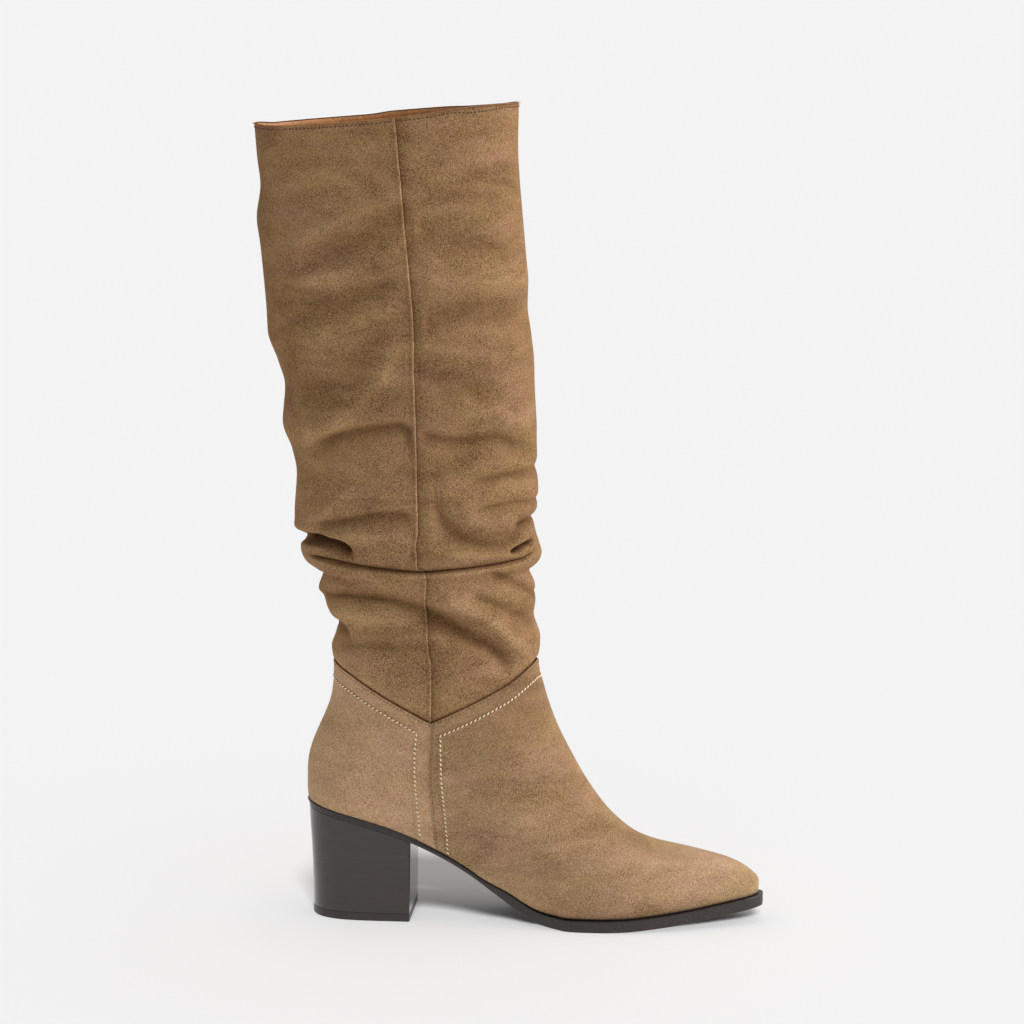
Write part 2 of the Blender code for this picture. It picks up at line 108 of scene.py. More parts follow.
# Foot, featherline to ankle: back, its rise, front, its rise, width, peak, blunt back and front, outline kept
footTable = [
    (0.0020, 0.000, 0.9910, 0.000, 1.000, 0.62, 2.3, 2.0, 1.00),
    (0.0000, 0.106, 0.9890, 0.054, 1.045, 0.62, 2.3, 2.0, 0.97),
    (0.0000, 0.200, 0.9690, 0.104, 1.045, 0.61, 2.3, 2.0, 0.80),
    (0.0020, 0.282, 0.9340, 0.149, 1.020, 0.60, 2.4, 2.0, 0.58),
    (0.0080, 0.365, 0.8760, 0.186, 0.990, 0.59, 2.4, 2.0, 0.34),
    (0.0165, 0.441, 0.8000, 0.217, 0.960, 0.57, 2.5, 2.0, 0.16),
    (0.0270, 0.518, 0.7330, 0.262, 0.930, 0.55, 2.5, 2.0, 0.06),
    (0.0385, 0.600, 0.6650, 0.360, 0.910, 0.53, 2.5, 2.0, 0.00),
    (0.0480, 0.676, 0.6165, 0.475, 0.905, 0.51, 2.4, 2.0, 0.00),
    (0.0540, 0.753, 0.5750, 0.606, 0.910, 0.50, 2.4, 2.0, 0.00),
    (0.0565, 0.835, 0.5420, 0.730, 0.925, 0.50, 2.3, 2.0, 0.00),
    (0.0570, 0.918, 0.5165, 0.869, 0.940, 0.50, 2.2, 2.0, 0.00),
    (0.0560, 1.000, 0.5015, 1.000, 0.955, 0.50, 2.2, 2.0, 0.00),
]
# how far the side seam of the foot bows out of the straight, in millimetres, a value for each row above
seamBow = (1.7, 0.9, 0.3, -0.1, -0.5, -0.7, -0.9, -0.8, -0.4, 0.3, 0.5, 0.5, 0.5)
# Leg, a row for each crest and trough: heights behind and in front, standing out there, width, side seam
legTable = [
    (0.017, 0.041, 0.004, 0.010, 0.895, 0.493),
    (0.052, 0.086, -0.013, -0.014, 0.855, 0.491),
    (0.120, 0.126, 0.064, -0.002, 0.920, 0.520),
    (0.157, 0.163, 0.027, -0.035, 0.870, 0.525),
    (0.169, 0.174, 0.088, -0.010, 0.910, 0.536),
    (0.180, 0.185, 0.112, 0.007, 0.925, 0.508),
    (0.196, 0.197, 0.123, 0.012, 0.940, 0.509),
    (0.224, 0.216, 0.104, 0.000, 0.905, 0.500),
    (0.248, 0.252, 0.146, -0.018, 0.905, 0.541),
    (0.275, 0.293, 0.150, -0.002, 0.935, 0.533),
    (0.342, 0.351, 0.142, -0.007, 0.940, 0.528),
    (0.388, 0.395, 0.159, -0.011, 0.950, 0.537),
    (0.442, 0.440, 0.196, -0.014, 0.985, 0.554),
    (0.506, 0.491, 0.187, -0.020, 0.970, 0.548),
    (0.556, 0.542, 0.214, -0.024, 0.985, 0.559),
    (0.609, 0.590, 0.253, -0.035, 0.990, 0.582),
    (0.653, 0.644, 0.258, -0.045, 0.995, 0.585),
    (0.770, 0.753, 0.281, -0.062, 1.000, 0.582),
    (0.825, 0.810, 0.295, -0.074, 1.005, 0.583),
    (0.884, 0.867, 0.281, -0.085, 1.000, 0.573),
    (0.937, 0.931, 0.293, -0.092, 1.000, 0.570),
    (1.000, 1.000, 0.304, -0.090, 1.000, 0.562),
]
# How far the top edge dips under the straight: share of the way forward, and millimetres
outerDip = [
    (0, 0.8), (0.06, 1.9), (0.17, 2), (0.36, 1.6), (0.52, 1.3), (0.68, 0.4), (0.8, -0.9), (0.92, -0.7),
    (1, 0.6),
]
innerDip = [(0, 0.8), (0.06, 2.3), (0.4, 2.3), (0.5, 1.3), (0.7, 1.2), (0.8, 1.7), (0.93, 1.5), (1, 0.6)]


def smoothThrough(knots, values, at):
    # a smooth curve through the values that never swings past them
    x, y = np.asarray(knots, float), np.asarray(values, float)
    run = np.diff(x)
    rise = np.diff(y) / run
    slope = np.zeros_like(y)
    slope[0], slope[-1] = rise[0], rise[-1]
    for i in range(1, len(y) - 1):
        if rise[i - 1] * rise[i] > 0:
            slope[i] = (run[i - 1] + run[i]) / (run[i - 1] / rise[i] + run[i] / rise[i - 1])
    at = np.clip(np.asarray(at, float), x[0], x[-1])
    k = np.clip(np.searchsorted(x, at, side="right") - 1, 0, len(run) - 1)
    s = (at - x[k]) / run[k]
    return (
        (2 * s**3 - 3 * s**2 + 1) * y[k]
        + (s**3 - 2 * s**2 + s) * run[k] * slope[k]
        + (3 * s**2 - 2 * s**3) * y[k + 1]
        + (s**3 - s**2) * run[k] * slope[k + 1]
    )


def ease(low, high, at):
    s = np.clip((np.asarray(at, float) - low) / (high - low), 0, 1)
    return s * s * (3 - 2 * s)


def soleUnder(x):
    share = (np.asarray(x, float) - seatBack) / last["length"]
    arch = last["heelHeight"] * smoothThrough(*zip(*archTable), share)
    past = np.clip((share - last["springStart"]) / (1 - last["springStart"]), 0, None)
    return arch + last["toeSpring"] * past ** last["springPower"]


def soleOver(x):
    share = (np.asarray(x, float) - seatBack) / last["length"]
    return soleUnder(x) + last["shankSole"] + (last["foreSole"] - last["shankSole"]) * ease(0.38, 0.47, share)


def outlineHalf(share, side):
    # half width of the featherline: side is -1 on the outer side, 1 on the inner
    share = np.clip(np.asarray(share, float), 0, 1)
    shares, outer, inner = zip(*outlineTable)
    half = np.where(side < 0, smoothThrough(shares, outer, share), smoothThrough(shares, inner, share))
    heelPart = np.clip(1 - share / last["heelRound"], 0, 1)
    toePart = np.clip((share - 1 + last["toeRound"]) / last["toeRound"], 0, 1)
    return last["ballWidth"] * half * (1 - heelPart ** last["heelBlunt"]) ** 0.5 * (1 - toePart**2) ** 0.5


def makeRows():
    seat = float(soleOver(seatBack)) + last["bed"]
    tip = float(soleOver(seatBack + upperLength)) + last["bed"]
    heel, instep = (seatBack + footTable[-1][i] * last["length"] for i in (0, 2))
    seamX = heel + leg["seamPlace"] * (instep - heel)
    rows = []
    for (back, upBack, front, upFront, width, *form), bow in zip(footTable, seamBow):
        rows.append((
            seatBack + back * last["length"], seat + upBack * (last["ankleBack"] - seat),
            seatBack + front * last["length"], tip + upFront * (last["ankleFront"] - tip),
            width * last["ballWidth"] / 2, *form,
            ((seamX + bow - seatBack) / last["length"] - back) / (front - back),
        ))
    for upBack, upFront, outBack, outFront, width, seam in legTable:
        rows.append((
            heel - outBack * leg["depth"],
            last["ankleBack"] + upBack * (leg["collarBack"] - last["ankleBack"]),
            instep + outFront * leg["depth"],
            last["ankleFront"] + upFront * (leg["collarFront"] - last["ankleFront"]),
            width * leg["width"] / 2, 0.5, leg["blunt"], leg["blunt"], 0.0, seam,
        ))
    return np.array(rows)


sections = makeRows()
ankleRow = len(footTable) - 1
collarRow = len(sections) - 1
fineRows = np.linspace(0, collarRow, 4000)
fineSections = [smoothThrough(range(collarRow + 1), column, fineRows) for column in sections.T]


def bootSkin(turn, row):
    # the boot's outer form: turn runs from the back round the outer side to the front (0.5) and back to 1
    turn, row = np.broadcast_arrays(np.asarray(turn, float) % 1, np.asarray(row, float))
    back, backZ, front, frontZ, half, peak, bluntBack, bluntFront, keep, seam = (
        np.interp(row, fineRows, part) for part in fineSections
    )
    halfTurn = np.minimum(turn, 1 - turn)
    seamTurn = np.arccos(1 - 2 * seam) / (2 * np.pi)
    halfTurn = np.where(
        halfTurn < 0.25, halfTurn * seamTurn / 0.25, seamTurn + (halfTurn - 0.25) * (0.5 - seamTurn) / 0.25
    )
    share = (1 - np.cos(2 * np.pi * halfTurn)) / 2
    side = np.where(turn < 0.5, -1.0, 1.0)
    x = back + share * (front - back)
    behind = np.clip((peak - share) / peak, 0, 1)
    ahead = np.clip((share - peak) / (1 - peak), 0, 1)
    roundHalf = half * ((1 - behind**bluntBack) * (1 - ahead**bluntFront)) ** 0.5
    footHalf = half * 2 / last["ballWidth"] * outlineHalf(share, side)
    feather = soleOver(x) + last["bed"]
    straight = sections[0, 1] + share * (sections[0, 3] - sections[0, 1])
    follow = 1 - ease(0, ankleRow, row)
    dip = leg["dip"] * 4 * share * (1 - share)
    dip += np.where(side < 0, smoothThrough(*zip(*outerDip), share), smoothThrough(*zip(*innerDip), share))
    dip *= ease(collarRow - leg["dipRows"], collarRow, row)
    z = backZ + share * (frontZ - backZ) + follow * (feather - straight) - dip
    return np.stack([x, side * (keep * footHalf + (1 - keep) * roundHalf), z], axis=-1)


def skinFrame(turns, rows):
    points = bootSkin(turns, rows)
    along = bootSkin(turns + 0.0005, rows) - bootSkin(turns - 0.0005, rows)
    up = bootSkin(turns, rows + 0.01) - bootSkin(turns, rows - 0.01)
    normal = np.cross(along, up)
    return points, normal / np.linalg.norm(normal, axis=-1, keepdims=True)


def seamHeight(x):
    # the ankle seam: highest behind and in front, lowest at both sides
    back, front = sections[ankleRow, 0], sections[ankleRow, 2]
    share = np.clip((x - back) / (front - back), 0, 1)
    place = leg["seamPlace"]
    reach = np.where(share < place, share / place, (1 - share) / (1 - place))
    ends = last["ankleBack"] + share * (last["ankleFront"] - last["ankleBack"]) - leg["seamBelow"]
    low, high = leg["seamEnds"]
    ends = ends + low * (1 - ease(0, 0.12, share)) + high * ease(0.86, 1, share)
    return ends - leg["seamDip"] * reach ** leg["seamSweep"]


def seamRows(turns, lower=0.0):
    # the row at which each column meets the ankle seam, or a line that far under it
    rows = np.linspace(2, ankleRow + 2, 1400)
    points = bootSkin(turns[None, :], rows[:, None])
    below = points[..., 2] < seamHeight(points[..., 0]) - lower
    return rows[np.clip(below.sum(axis=0), 0, len(rows) - 1)]


def outwardOf(points):
    # normals of a grid whose columns run with the turn and whose rows run up
    along = np.gradient(points, axis=1)
    up = np.gradient(points, axis=0)
    normal = np.cross(along, up)
    return normal / np.maximum(np.linalg.norm(normal, axis=-1, keepdims=True), 1e-9)


def runAlong(points):
    # length along a row of points, from its first
    return np.concatenate([[0], np.cumsum(np.linalg.norm(np.diff(points, axis=0), axis=1))])


def bump(at, middle, width):
    return np.exp(-(((at - middle) / width) ** 2))


def deselect():
    if bpy.context.object and bpy.context.object.mode != "OBJECT":
        bpy.ops.object.mode_set(mode="OBJECT")
    bpy.ops.object.select_all(action="DESELECT")


def layGrid(name, points, shade=None):
    # a plane with one vertex for each point, laid onto the points
    rows, columns = points.shape[:2]
    deselect()
    bpy.ops.mesh.primitive_grid_add(x_subdivisions=columns - 1, y_subdivisions=rows - 1, size=1)
    piece = bpy.context.object
    piece.name = name
    piece.data.name = name
    piece.data.vertices.foreach_set("co", (points * mm).reshape(-1).astype(np.float32))
    layer = piece.data.attributes.new("shade", "FLOAT", "POINT")
    values = np.zeros((rows, columns)) if shade is None else shade
    layer.data.foreach_set("value", values.reshape(-1).astype(np.float32))
    piece.data.update()
    bpy.ops.object.shade_smooth()
    return piece


def dress(piece, material, nodes=()):
    # gives a piece its material and the body it rides on, and hides the solids it stands for
    piece.data.materials.clear()
    piece.data.materials.append(material)
    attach(piece, "root")
    for node in nodes:
        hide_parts(node)


# Folds of the outer side as the photo has them, in millimetres. Columns: name, depth of the trough (below 0
# it stands out), widths of the slopes above and below it, painted shade in the fold (below 0 a painted
# highlight, paler), lengths over which the first and the last end run out, and the points of its line in x
# and z.
outerFolds = [
    ("pleat", 3.4, 2.4, 0.3, 1.0, 7, 4.5, [(-33.5, 208.6), (-28.5, 207.2), (-17.3, 205.9), (-0.9, 204.0),
        (17.3, 202.7), (33.5, 201.8), (50.7, 203.1), (67.6, 204.6), (83.2, 206.4), (90.9, 208.0),
        (94.7, 210.8), (97.4, 213.4)]),
    ("slotLeft", 7.0, 1.0, 3.3, 1.5, 3.5, 8, [(-34.5, 218.0), (-31.5, 218.4), (-23, 218.4), (-14, 217.4),
        (-7.5, 214.9), (-2, 211)]),
    ("rollBack", -2.0, 1.8, 2.6, -0.2, 0, 9, [(-44, 211.5), (-36, 212.0), (-27, 212.8), (-16, 212.0)]),
    ("slitRight", 6.5, 0.9, 1.6, 1.8, 4, 2.5, [(83, 213.3), (87.7, 214.8), (91.5, 216.5), (96.0, 218.2)]),
    ("notchRight", 3.6, 2.0, 1.8, 0.7, 8, 0, [(84, 226.0), (93.9, 228.5), (99, 230)]),
    ("darkArc", 3.2, 1.8, 6.0, 0.55, 12, 8, [(-32, 227), (-20, 228), (-11.4, 230), (-3.8, 231.7), (11, 235.3),
        (22.8, 235.7), (32, 233.8)]),
    ("rollMiddle", -1.6, 5.0, 4.0, -0.16, 10, 8, [(-26, 219), (-12, 222), (4, 223.5), (18, 221), (31, 217)]),
    ("paleRidge", -1.6, 4.0, 3.0, -0.12, 0, 10, [(-40, 222), (-29, 226), (-20, 234), (-9, 245), (2, 252)]),
    ("troughRight", 3.6, 5.0, 5.0, 0.42, 10, 8, [(38, 252), (41, 243), (46, 232.5), (54, 224.5), (64, 219.4),
        (75, 217.4), (85, 221.0), (92.5, 228)]),
    ("puffRight", -2.4, 7.0, 5.0, -0.18, 10, 8, [(52, 236), (62, 230), (74, 228.0), (88, 229)]),
    ("rimRight", -1.2, 2.4, 2.4, -0.16, 10, 10, [(44, 214), (58, 211.5), (72, 212.5), (84, 216.5),
        (93, 224)]),
    ("creaseRight", 1.8, 1.8, 3.2, 0.4, 9, 0, [(62, 237.0), (73.7, 239.2), (84.9, 240.5), (96, 239.9),
        (102, 239.9)]),
    ("streakMiddle", 2.2, 2.0, 4.0, 0.45, 16, 0, [(56, 252), (72, 254.5), (82.6, 256.4), (93.9, 257.6),
        (100, 258)]),
    ("streakHigh", 2.4, 3.0, 5.0, 0.45, 6, 12, [(33, 281.6), (36, 280.6), (47.5, 277.8), (61, 277),
        (74.5, 277.8), (85, 273.5), (94, 270)]),
    ("arcHigh", 3.4, 2.4, 7.0, 0.6, 14, 4, [(-32, 270), (-24, 273), (-11, 279.3), (-0.7, 282), (11.7, 284.3),
        (22.2, 285.7), (29.4, 280.7), (31.6, 277.4)]),
    ("ridgeArc", -2.8, 7.0, 5.0, -0.22, 8, 12, [(-36, 276.5), (-27.6, 279.7), (-11, 288.3), (3, 301.2),
        (14.3, 315), (24, 328)]),
    ("hollowArc", 1.6, 8.0, 7.0, 0.22, 8, 10, [(-38, 300), (-28, 303), (-14, 309), (0, 322), (10, 334),
        (20, 338)]),
    ("ridgeRight", -2.2, 6.0, 6.0, -0.18, 14, 8, [(44, 303), (61, 296.7), (74.4, 290.6), (87.6, 283.9),
        (97, 279)]),
    ("hollowSeam", 1.2, 9.0, 9.0, 0.22, 3, 16, [(30, 316), (38, 313), (50, 309), (66, 306), (80, 302)]),
    ("swellTop", -2.0, 6.0, 5.0, -0.2, 8, 12, [(-40, 383), (-33.8, 386), (-9.7, 399), (19.6, 410),
        (30, 414)]),
    ("hollowTop", 1.4, 7.0, 7.0, 0.2, 10, 8, [(-36, 372), (-22, 378), (-4, 385), (14, 398), (27, 404)]),
    ("swellMiddle", -1.9, 6.0, 6.0, -0.2, 8, 8, [(-36, 364), (-28, 366), (0.9, 374), (22.4, 388), (29, 394)]),
    ("hollowMiddle", 1.5, 6.0, 7.0, 0.22, 8, 12, [(-36, 350), (-24, 352), (-6, 356), (12, 362), (27, 370)]),
    ("swellLow", -2.0, 6.0, 7.0, -0.2, 6, 12, [(-38, 333.5), (-30.5, 335), (-8, 342), (13.7, 349),
        (27, 352)]),
    ("hollowRight", 1.8, 8.0, 8.0, 0.28, 5, 10, [(34, 342), (48.7, 346), (66, 348), (86.6, 347.6),
        (97, 347)]),
    ("swellRight", -1.4, 8.0, 7.0, -0.12, 5, 10, [(34, 366), (48, 364), (66, 362), (86, 364), (97, 364)]),
    ("hollowFront", 1.3, 8.0, 8.0, 0.18, 5, 12, [(30, 396), (44, 391), (60, 385), (76, 383), (92, 384)]),
    ("rollLeft", -1.8, 4.5, 4.5, -0.16, 8, 10, [(-30, 196), (-18, 197.5), (0, 198), (16, 197), (30, 195)]),
    ("diagonal", 5.2, 5.0, 5.4, 0.62, 10, 10, [(-32, 182), (-21, 184.8), (-9, 187.9), (10.9, 187.5),
        (22.9, 184.8), (35.2, 180.6), (45.2, 176), (53.4, 171.4), (64.5, 165.7), (74.4, 159.8), (82.4, 152),
        (88, 146)]),
    ("rollBelow", -1.8, 4.0, 5.0, -0.16, 8, 14, [(-22, 174), (-8, 176.5), (12, 176), (28, 172), (44, 165),
        (58, 157)]),
    ("rollRight", -2.6, 4.5, 4.0, -0.25, 8, 6, [(44, 188), (54, 184), (66, 177.5), (76, 170), (84, 161.5),
        (91.4, 154), (95, 150)]),
    ("creaseFront", 2.4, 1.8, 3.2, 0.5, 10, 0, [(68, 203), (79, 199.4), (85.5, 196.3), (94.4, 189.6),
        (100, 184)]),
    ("troughFront", 2.2, 3.0, 3.6, 0.35, 10, 0, [(58, 191), (66, 188), (78, 182), (94, 172), (100, 168)]),
    ("notchLeft", 2.8, 2.2, 2.6, 0.5, 0, 8, [(-30, 171), (-16.5, 169), (-9, 164), (-4, 160)]),
    ("softLow", 1.4, 3.5, 4.0, 0.28, 8, 10, [(-18, 155), (-11, 157.2), (7, 161.1), (22, 162)]),
]
# The inner side folds alike. Of each fold it has: how far the middle moves in x and z, share of the depth,
# which also weakens its painted shade
innerMoves = {
    "pleat": (0, 0, 0.8), "slotLeft": (3, 1, 0.4), "notchRight": (-3, 2, 0.85), "darkArc": (6, 3, 0.6),
    "troughRight": (-5, -3, 0.6), "puffRight": (-5, -2, 0.85), "creaseRight": (-4, 2, 0.85),
    "streakMiddle": (0, 4, 0.85), "streakHigh": (-3, 5, 0.85), "arcHigh": (4, -4, 0.85),
    "ridgeArc": (5, -4, 0.85), "ridgeRight": (-6, 6, 0.85), "swellMiddle": (5, 8, 0.85),
    "hollowMiddle": (4, 8, 0.85), "hollowRight": (-4, -9, 0.85), "diagonal": (3, -3, 0.75),
    "rollLeft": (2, -2, 0.85), "rollBelow": (2, -2, 0.85), "rollRight": (-2, -3, 0.85),
    "creaseFront": (-1, 2, 0.85), "notchLeft": (2, -2, 0.85), "softLow": (6, 3, 0.85),
    "rollMiddle": (4, 2, 0.85),
}
innerFolds = []
for name, depth, wideAbove, wideBelow, dark, first, final, line in outerFolds:
    if name in innerMoves:
        moveX, moveZ, weight = innerMoves[name]
        inward = [math.sin(math.pi * (i / (len(line) - 1))) for i in range(len(line))]
        moved = [(x + moveX * share, z + moveZ * share) for (x, z), share in zip(line, inward)]
        dark = dark * min(1, weight + 0.15)
        innerFolds.append((name, depth * weight, wideAbove, wideBelow, dark, first, final, moved))


# How steep the sides of a fold are and how crisp the painted shade in it is, then the rim of suede rolled up
# under the pleat: how far it stands out and how wide it is, in millimetres, and its painted highlight
foldLook = {
    "steep": 1.7, "soft": 0.85, "crisp": {"slotLeft": 0.75, "slitRight": 0.8},
    "rimOut": 0.9, "rimWidth": 3.4, "rimPaintedHighlight": 0.22,
}


def foldsAt(folds, points):
    # how far each point moves out, and the painted shade where it lies (below 0 a painted highlight)
    x, z = points[..., 0], points[..., 2]
    out, shade = np.zeros_like(x), np.zeros_like(x)
    for name, depth, wideAbove, wideBelow, dark, first, final, line in folds:
        knots, heights = zip(*line)
        height = smoothThrough(knots, heights, x)
        slope = smoothThrough(knots, heights, x + 0.5) - smoothThrough(knots, heights, x - 0.5)
        above = (z - height) / np.sqrt(1 + slope**2)
        near = np.ones_like(x)
        if first:
            near = near * ease(knots[0], knots[0] + first, x)
        if final:
            near = near * (1 - ease(knots[-1] - final, knots[-1], x))
        width = np.where(above > 0, wideAbove, wideBelow)
        form = np.exp(-np.abs(above / width) ** foldLook["steep"])
        if name == "pleat":
            # the cloth above tucks behind a rolled rim, less deep where it goes round the back and front
            middle = ease(-36, -20, x) * (1 - ease(84, 98, x))
            depth = depth * (0.45 + 0.55 * middle)
            under = np.clip(-above, 0, None)
            rim = ease(0, 1.3, under) * bump(under, 1.3, foldLook["rimWidth"]) * (above < 0)
            out += near * foldLook["rimOut"] * middle * rim
            # a painted highlight along the rolled rim
            shade -= near * foldLook["rimPaintedHighlight"] * bump(under, 1.0, 1.2) * (above < 0)
            form = np.where(above > 0, np.exp(-np.clip(above - 0.4, 0, None) / wideAbove), form)
            # painted shade in the gap above the rim, fading up the cloth
            wide = np.exp(-np.clip(above, 0, None) / 3.0) * (above > 0)
            tone = np.exp(-np.abs(above - 0.3) / 0.55) + 0.25 * wide
        else:
            # painted shade along the trough, and a painted highlight where the fold stands out as a ridge
            crisp = foldLook["crisp"].get(name, foldLook["soft"])
            tone = np.exp(-np.abs(above / (width * crisp)) ** foldLook["steep"])
        out -= near * depth * form
        shade += near * dark * tone
    return out, np.clip(shade, -0.5, 1)


def paintedLightAndShade(spots, x, z):
    # soft areas of painted shade (above 0) and painted light (below 0) on the nap: centre, reach and amount
    # of each
    shade = np.zeros_like(x)
    for atX, atZ, reachX, reachZ, amount in spots:
        shade += amount * bump(x, atX, reachX) * bump(z, atZ, reachZ)
    return shade


# painted light low on the leg, above the ankle and round the folds, and painted shade higher up
legLightAndShade = [
    (5, 138, 38, 17, -0.42), (70, 140, 40, 15, -0.10), (0, 175, 40, 26, -0.16), (70, 180, 45, 26, -0.07),
    (5, 232, 40, 22, -0.18), (0, 420, 36, 50, 0.04), (75, 420, 40, 50, 0.06), (70, 330, 40, 50, 0.07),
]
# painted shade on the top and side of the vamp, painted light at the toe and on the quarter
footLightAndShade = [
    (92, 128, 26, 26, 0.36), (70, 106, 30, 22, 0.12), (112, 96, 24, 24, 0.16), (128, 62, 26, 16, 0.16),
    (205, 34, 40, 20, -0.12), (30, 70, 18, 40, -0.06), (-15, 100, 24, 40, -0.02),
]


def legForm(points):
    # folds of both sides, blended over the back and the front
    half = leg["width"] / 2
    outerPart = 1 - ease(-0.22 * half, 0.22 * half, points[..., 1])
    outA, shadeA = foldsAt(outerFolds, points)
    outB, shadeB = foldsAt(innerFolds, points)
    return outA * outerPart + outB * (1 - outerPart), shadeA * outerPart + shadeB * (1 - outerPart)


def spacedTurns(start, end, row, dense, wide, reach):
    # turns from start to end, close together at both ends
    fine = np.linspace(start, end, 3000)
    run = runAlong(bootSkin(fine, row))
    away = np.minimum(run, run[-1] - run)
    step = dense + (wide - dense) * ease(reach * 0.3, reach, away)
    count = np.concatenate([[0], np.cumsum(np.diff(run) / ((step[1:] + step[:-1]) / 2))])
    total = int(round(count[-1]))
    return np.interp(np.linspace(0, count[-1], total + 1), count, fine)


def rowsAtHeights(turns, heights):
    # the row of each column at each of its heights: heights is rows by columns
    rows = np.linspace(3, collarRow, 1500)
    points = bootSkin(turns[None, :], rows[:, None])[..., 2]
    found = np.empty_like(heights)
    for k in range(len(turns)):
        found[:, k] = np.interp(heights[:, k], points[:, k], rows)
    return found


# Leg panels, in millimetres: lap inside the foot, rows of vertices in each stretch of height and the levels
# between some of the stretches, rounding of the top edge, how far the leg draws in above the ankle seam
# (tuck) and inside the foot (hidden). The puff above the ankle, the seam's ridge and its dip have a height,
# then middle and width. Painted shade just above the ankle seam has its amount and reach; bands beside the
# side seam have their amount (below 0 a painted highlight on the raised edge, above 0 painted shade beside
# it and in the dip), middle and width. The back has painted shade down its middle, the side away from the
# light, with darker nap there too, over a width given in turns
legCut = {
    "lap": 7.0, "counts": (14, 46, 34, 46, 44, 58, 116), "levels": (174.0, 244.0, 302.0),
    "columnStep": (0.4, 1.15), "seamReach": 12, "besidePleat": (2.5, 3.5), "foldsFrom": 10,
    "rim": 0.75, "rimSteps": 7, "rimTurn": 118, "tuck": 1.3, "tuckBlend": 2.6, "hidden": 0.8,
    "puff": 0.5, "puffAt": (5, 4), "ridge": 0.5, "ridgeAt": (0.7, 1.1), "seamDip": 0.45, "dipAt": (0, 2.0),
    "edgeDrop": 1.0, "edgeRound": 0.45, "seamShade": (0.55, 0.9), "backShadeWidth": 0.085,
    "ridgeBands": ((-0.34, 0.45, 0.6), (0.1, 2.2, 1.2)), "dipBands": ((0.35, 0, 0.9), (0.25, 0, 6.0)),
}


def legPanel(name, start, end, raised):
    turns = spacedTurns(start, end, 22, *legCut["columnStep"], legCut["seamReach"])
    seam = bootSkin(turns, seamRows(turns))[:, 2]
    besideX, besideY = bootSkin(turns, 17.0)[:, :2].T
    outerPart = 1 - ease(-9, 9, besideY)
    outer, inner = (smoothThrough(*zip(*folds[0][-1]), besideX) for folds in (outerFolds, innerFolds))
    pleat = outer * outerPart + inner * (1 - outerPart)
    top = bootSkin(turns, collarRow)[:, 2]
    low, middle, high = (np.full_like(top, level) for level in legCut["levels"])
    under, over = legCut["besidePleat"]
    knots = [seam - legCut["lap"], seam, low, pleat - under, pleat + over, middle, high, top]
    parts = []
    for low, high, steps in zip(knots, knots[1:], legCut["counts"]):
        parts.append(low[None, :] + (high - low)[None, :] * (np.arange(steps)[:, None] / steps))
    heights = np.concatenate(parts + [top[None, :]])
    rows = rowsAtHeights(turns, heights)
    rows[-1] = collarRow
    base = bootSkin(turns[None, :], rows)
    normal = outwardOf(base)
    above = heights - seam[None, :]
    out, shade = legForm(base)
    out *= ease(0, legCut["foldsFrom"], above)
    out -= legCut["tuck"] * (1 - ease(0.0, legCut["tuckBlend"], above))
    out -= legCut["hidden"] * (1 - ease(-2.0, 0, above))
    out += legCut["puff"] * bump(above, *legCut["puffAt"])
    # painted shade just above the ankle seam, where the leg goes in under the foot panel
    amount, reach = legCut["seamShade"]
    shade = shade + amount * np.exp(-np.clip(above, 0, None) / reach)
    shade = shade + paintedLightAndShade(legLightAndShade, base[..., 0], base[..., 2])
    # painted shade down the back's middle, the side away from the light, with darker nap there too
    if raised:
        middle = bump(turns, 0, legCut["backShadeWidth"])[None, :]
        shade = shade + middle * (0.10 + 0.24 * ease(240, 330, base[..., 2]))
    # the back panel's edge stands up at the side seams and the front panel dips under it
    points = base + normal * out[..., None]
    run = runAlong(bootSkin(turns, 22.0))
    away = np.minimum(run, run[-1] - run)[None, :]
    if raised:
        edge = legCut["ridge"] * bump(away, *legCut["ridgeAt"])
        edge = edge - legCut["edgeDrop"] * (1 - ease(0, legCut["edgeRound"], away))
    else:
        edge = -legCut["seamDip"] * bump(away, *legCut["dipAt"])
    # a painted highlight on the raised edge and painted shade beside it, or painted shade in the front
    # panel's dip
    for amount, middle, width in legCut["ridgeBands"] if raised else legCut["dipBands"]:
        shade = shade + amount * bump(away, middle, width)
    points = points + normal * (edge * ease(0, 3, above))[..., None]
    # rim rolled over the top, then down the inside
    rim, steps = legCut["rim"], legCut["rimSteps"]
    edge, edgeNormal = points[-1], normal[-1]
    for k in range(1, steps + 1):
        angle = math.radians(legCut["rimTurn"]) * k / steps
        ring = edge + edgeNormal * (rim * (math.cos(angle) - 1)) + np.array([0, 0, rim * math.sin(angle)])
        points = np.concatenate([points, ring[None]])
    return layGrid(name, points, np.concatenate([shade, np.repeat(shade[-1:], steps, axis=0)]))


def nodeGroup(name, inputs):
    # a group that puts out a colour and a height, with the shade painted on the mesh as a mask
    tree = bpy.data.node_groups.new(name, "ShaderNodeTree")
    for label, kind, value in inputs:
        socket = tree.interface.new_socket(label, in_out="INPUT", socket_type="NodeSocket" + kind)
        socket.default_value = value
    for label, kind in (("Colour", "Color"), ("Height", "Float")):
        tree.interface.new_socket(label, in_out="OUTPUT", socket_type="NodeSocket" + kind)
    shade = tree.nodes.new("ShaderNodeAttribute")
    shade.attribute_name = "shade"
    return tree, tree.nodes.new("NodeGroupInput"), tree.nodes.new("NodeGroupOutput"), shade.outputs["Fac"]


def join(tree, node, socketName, value):
    # links a socket to another, or sets it to a plain value
    socket = node.inputs[socketName]
    if isinstance(value, bpy.types.NodeSocket):
        tree.links.new(value, socket)
    else:
        socket.default_value = value


def setInputs(node, values):
    for label, value in values.items():
        node.inputs[label].default_value = value


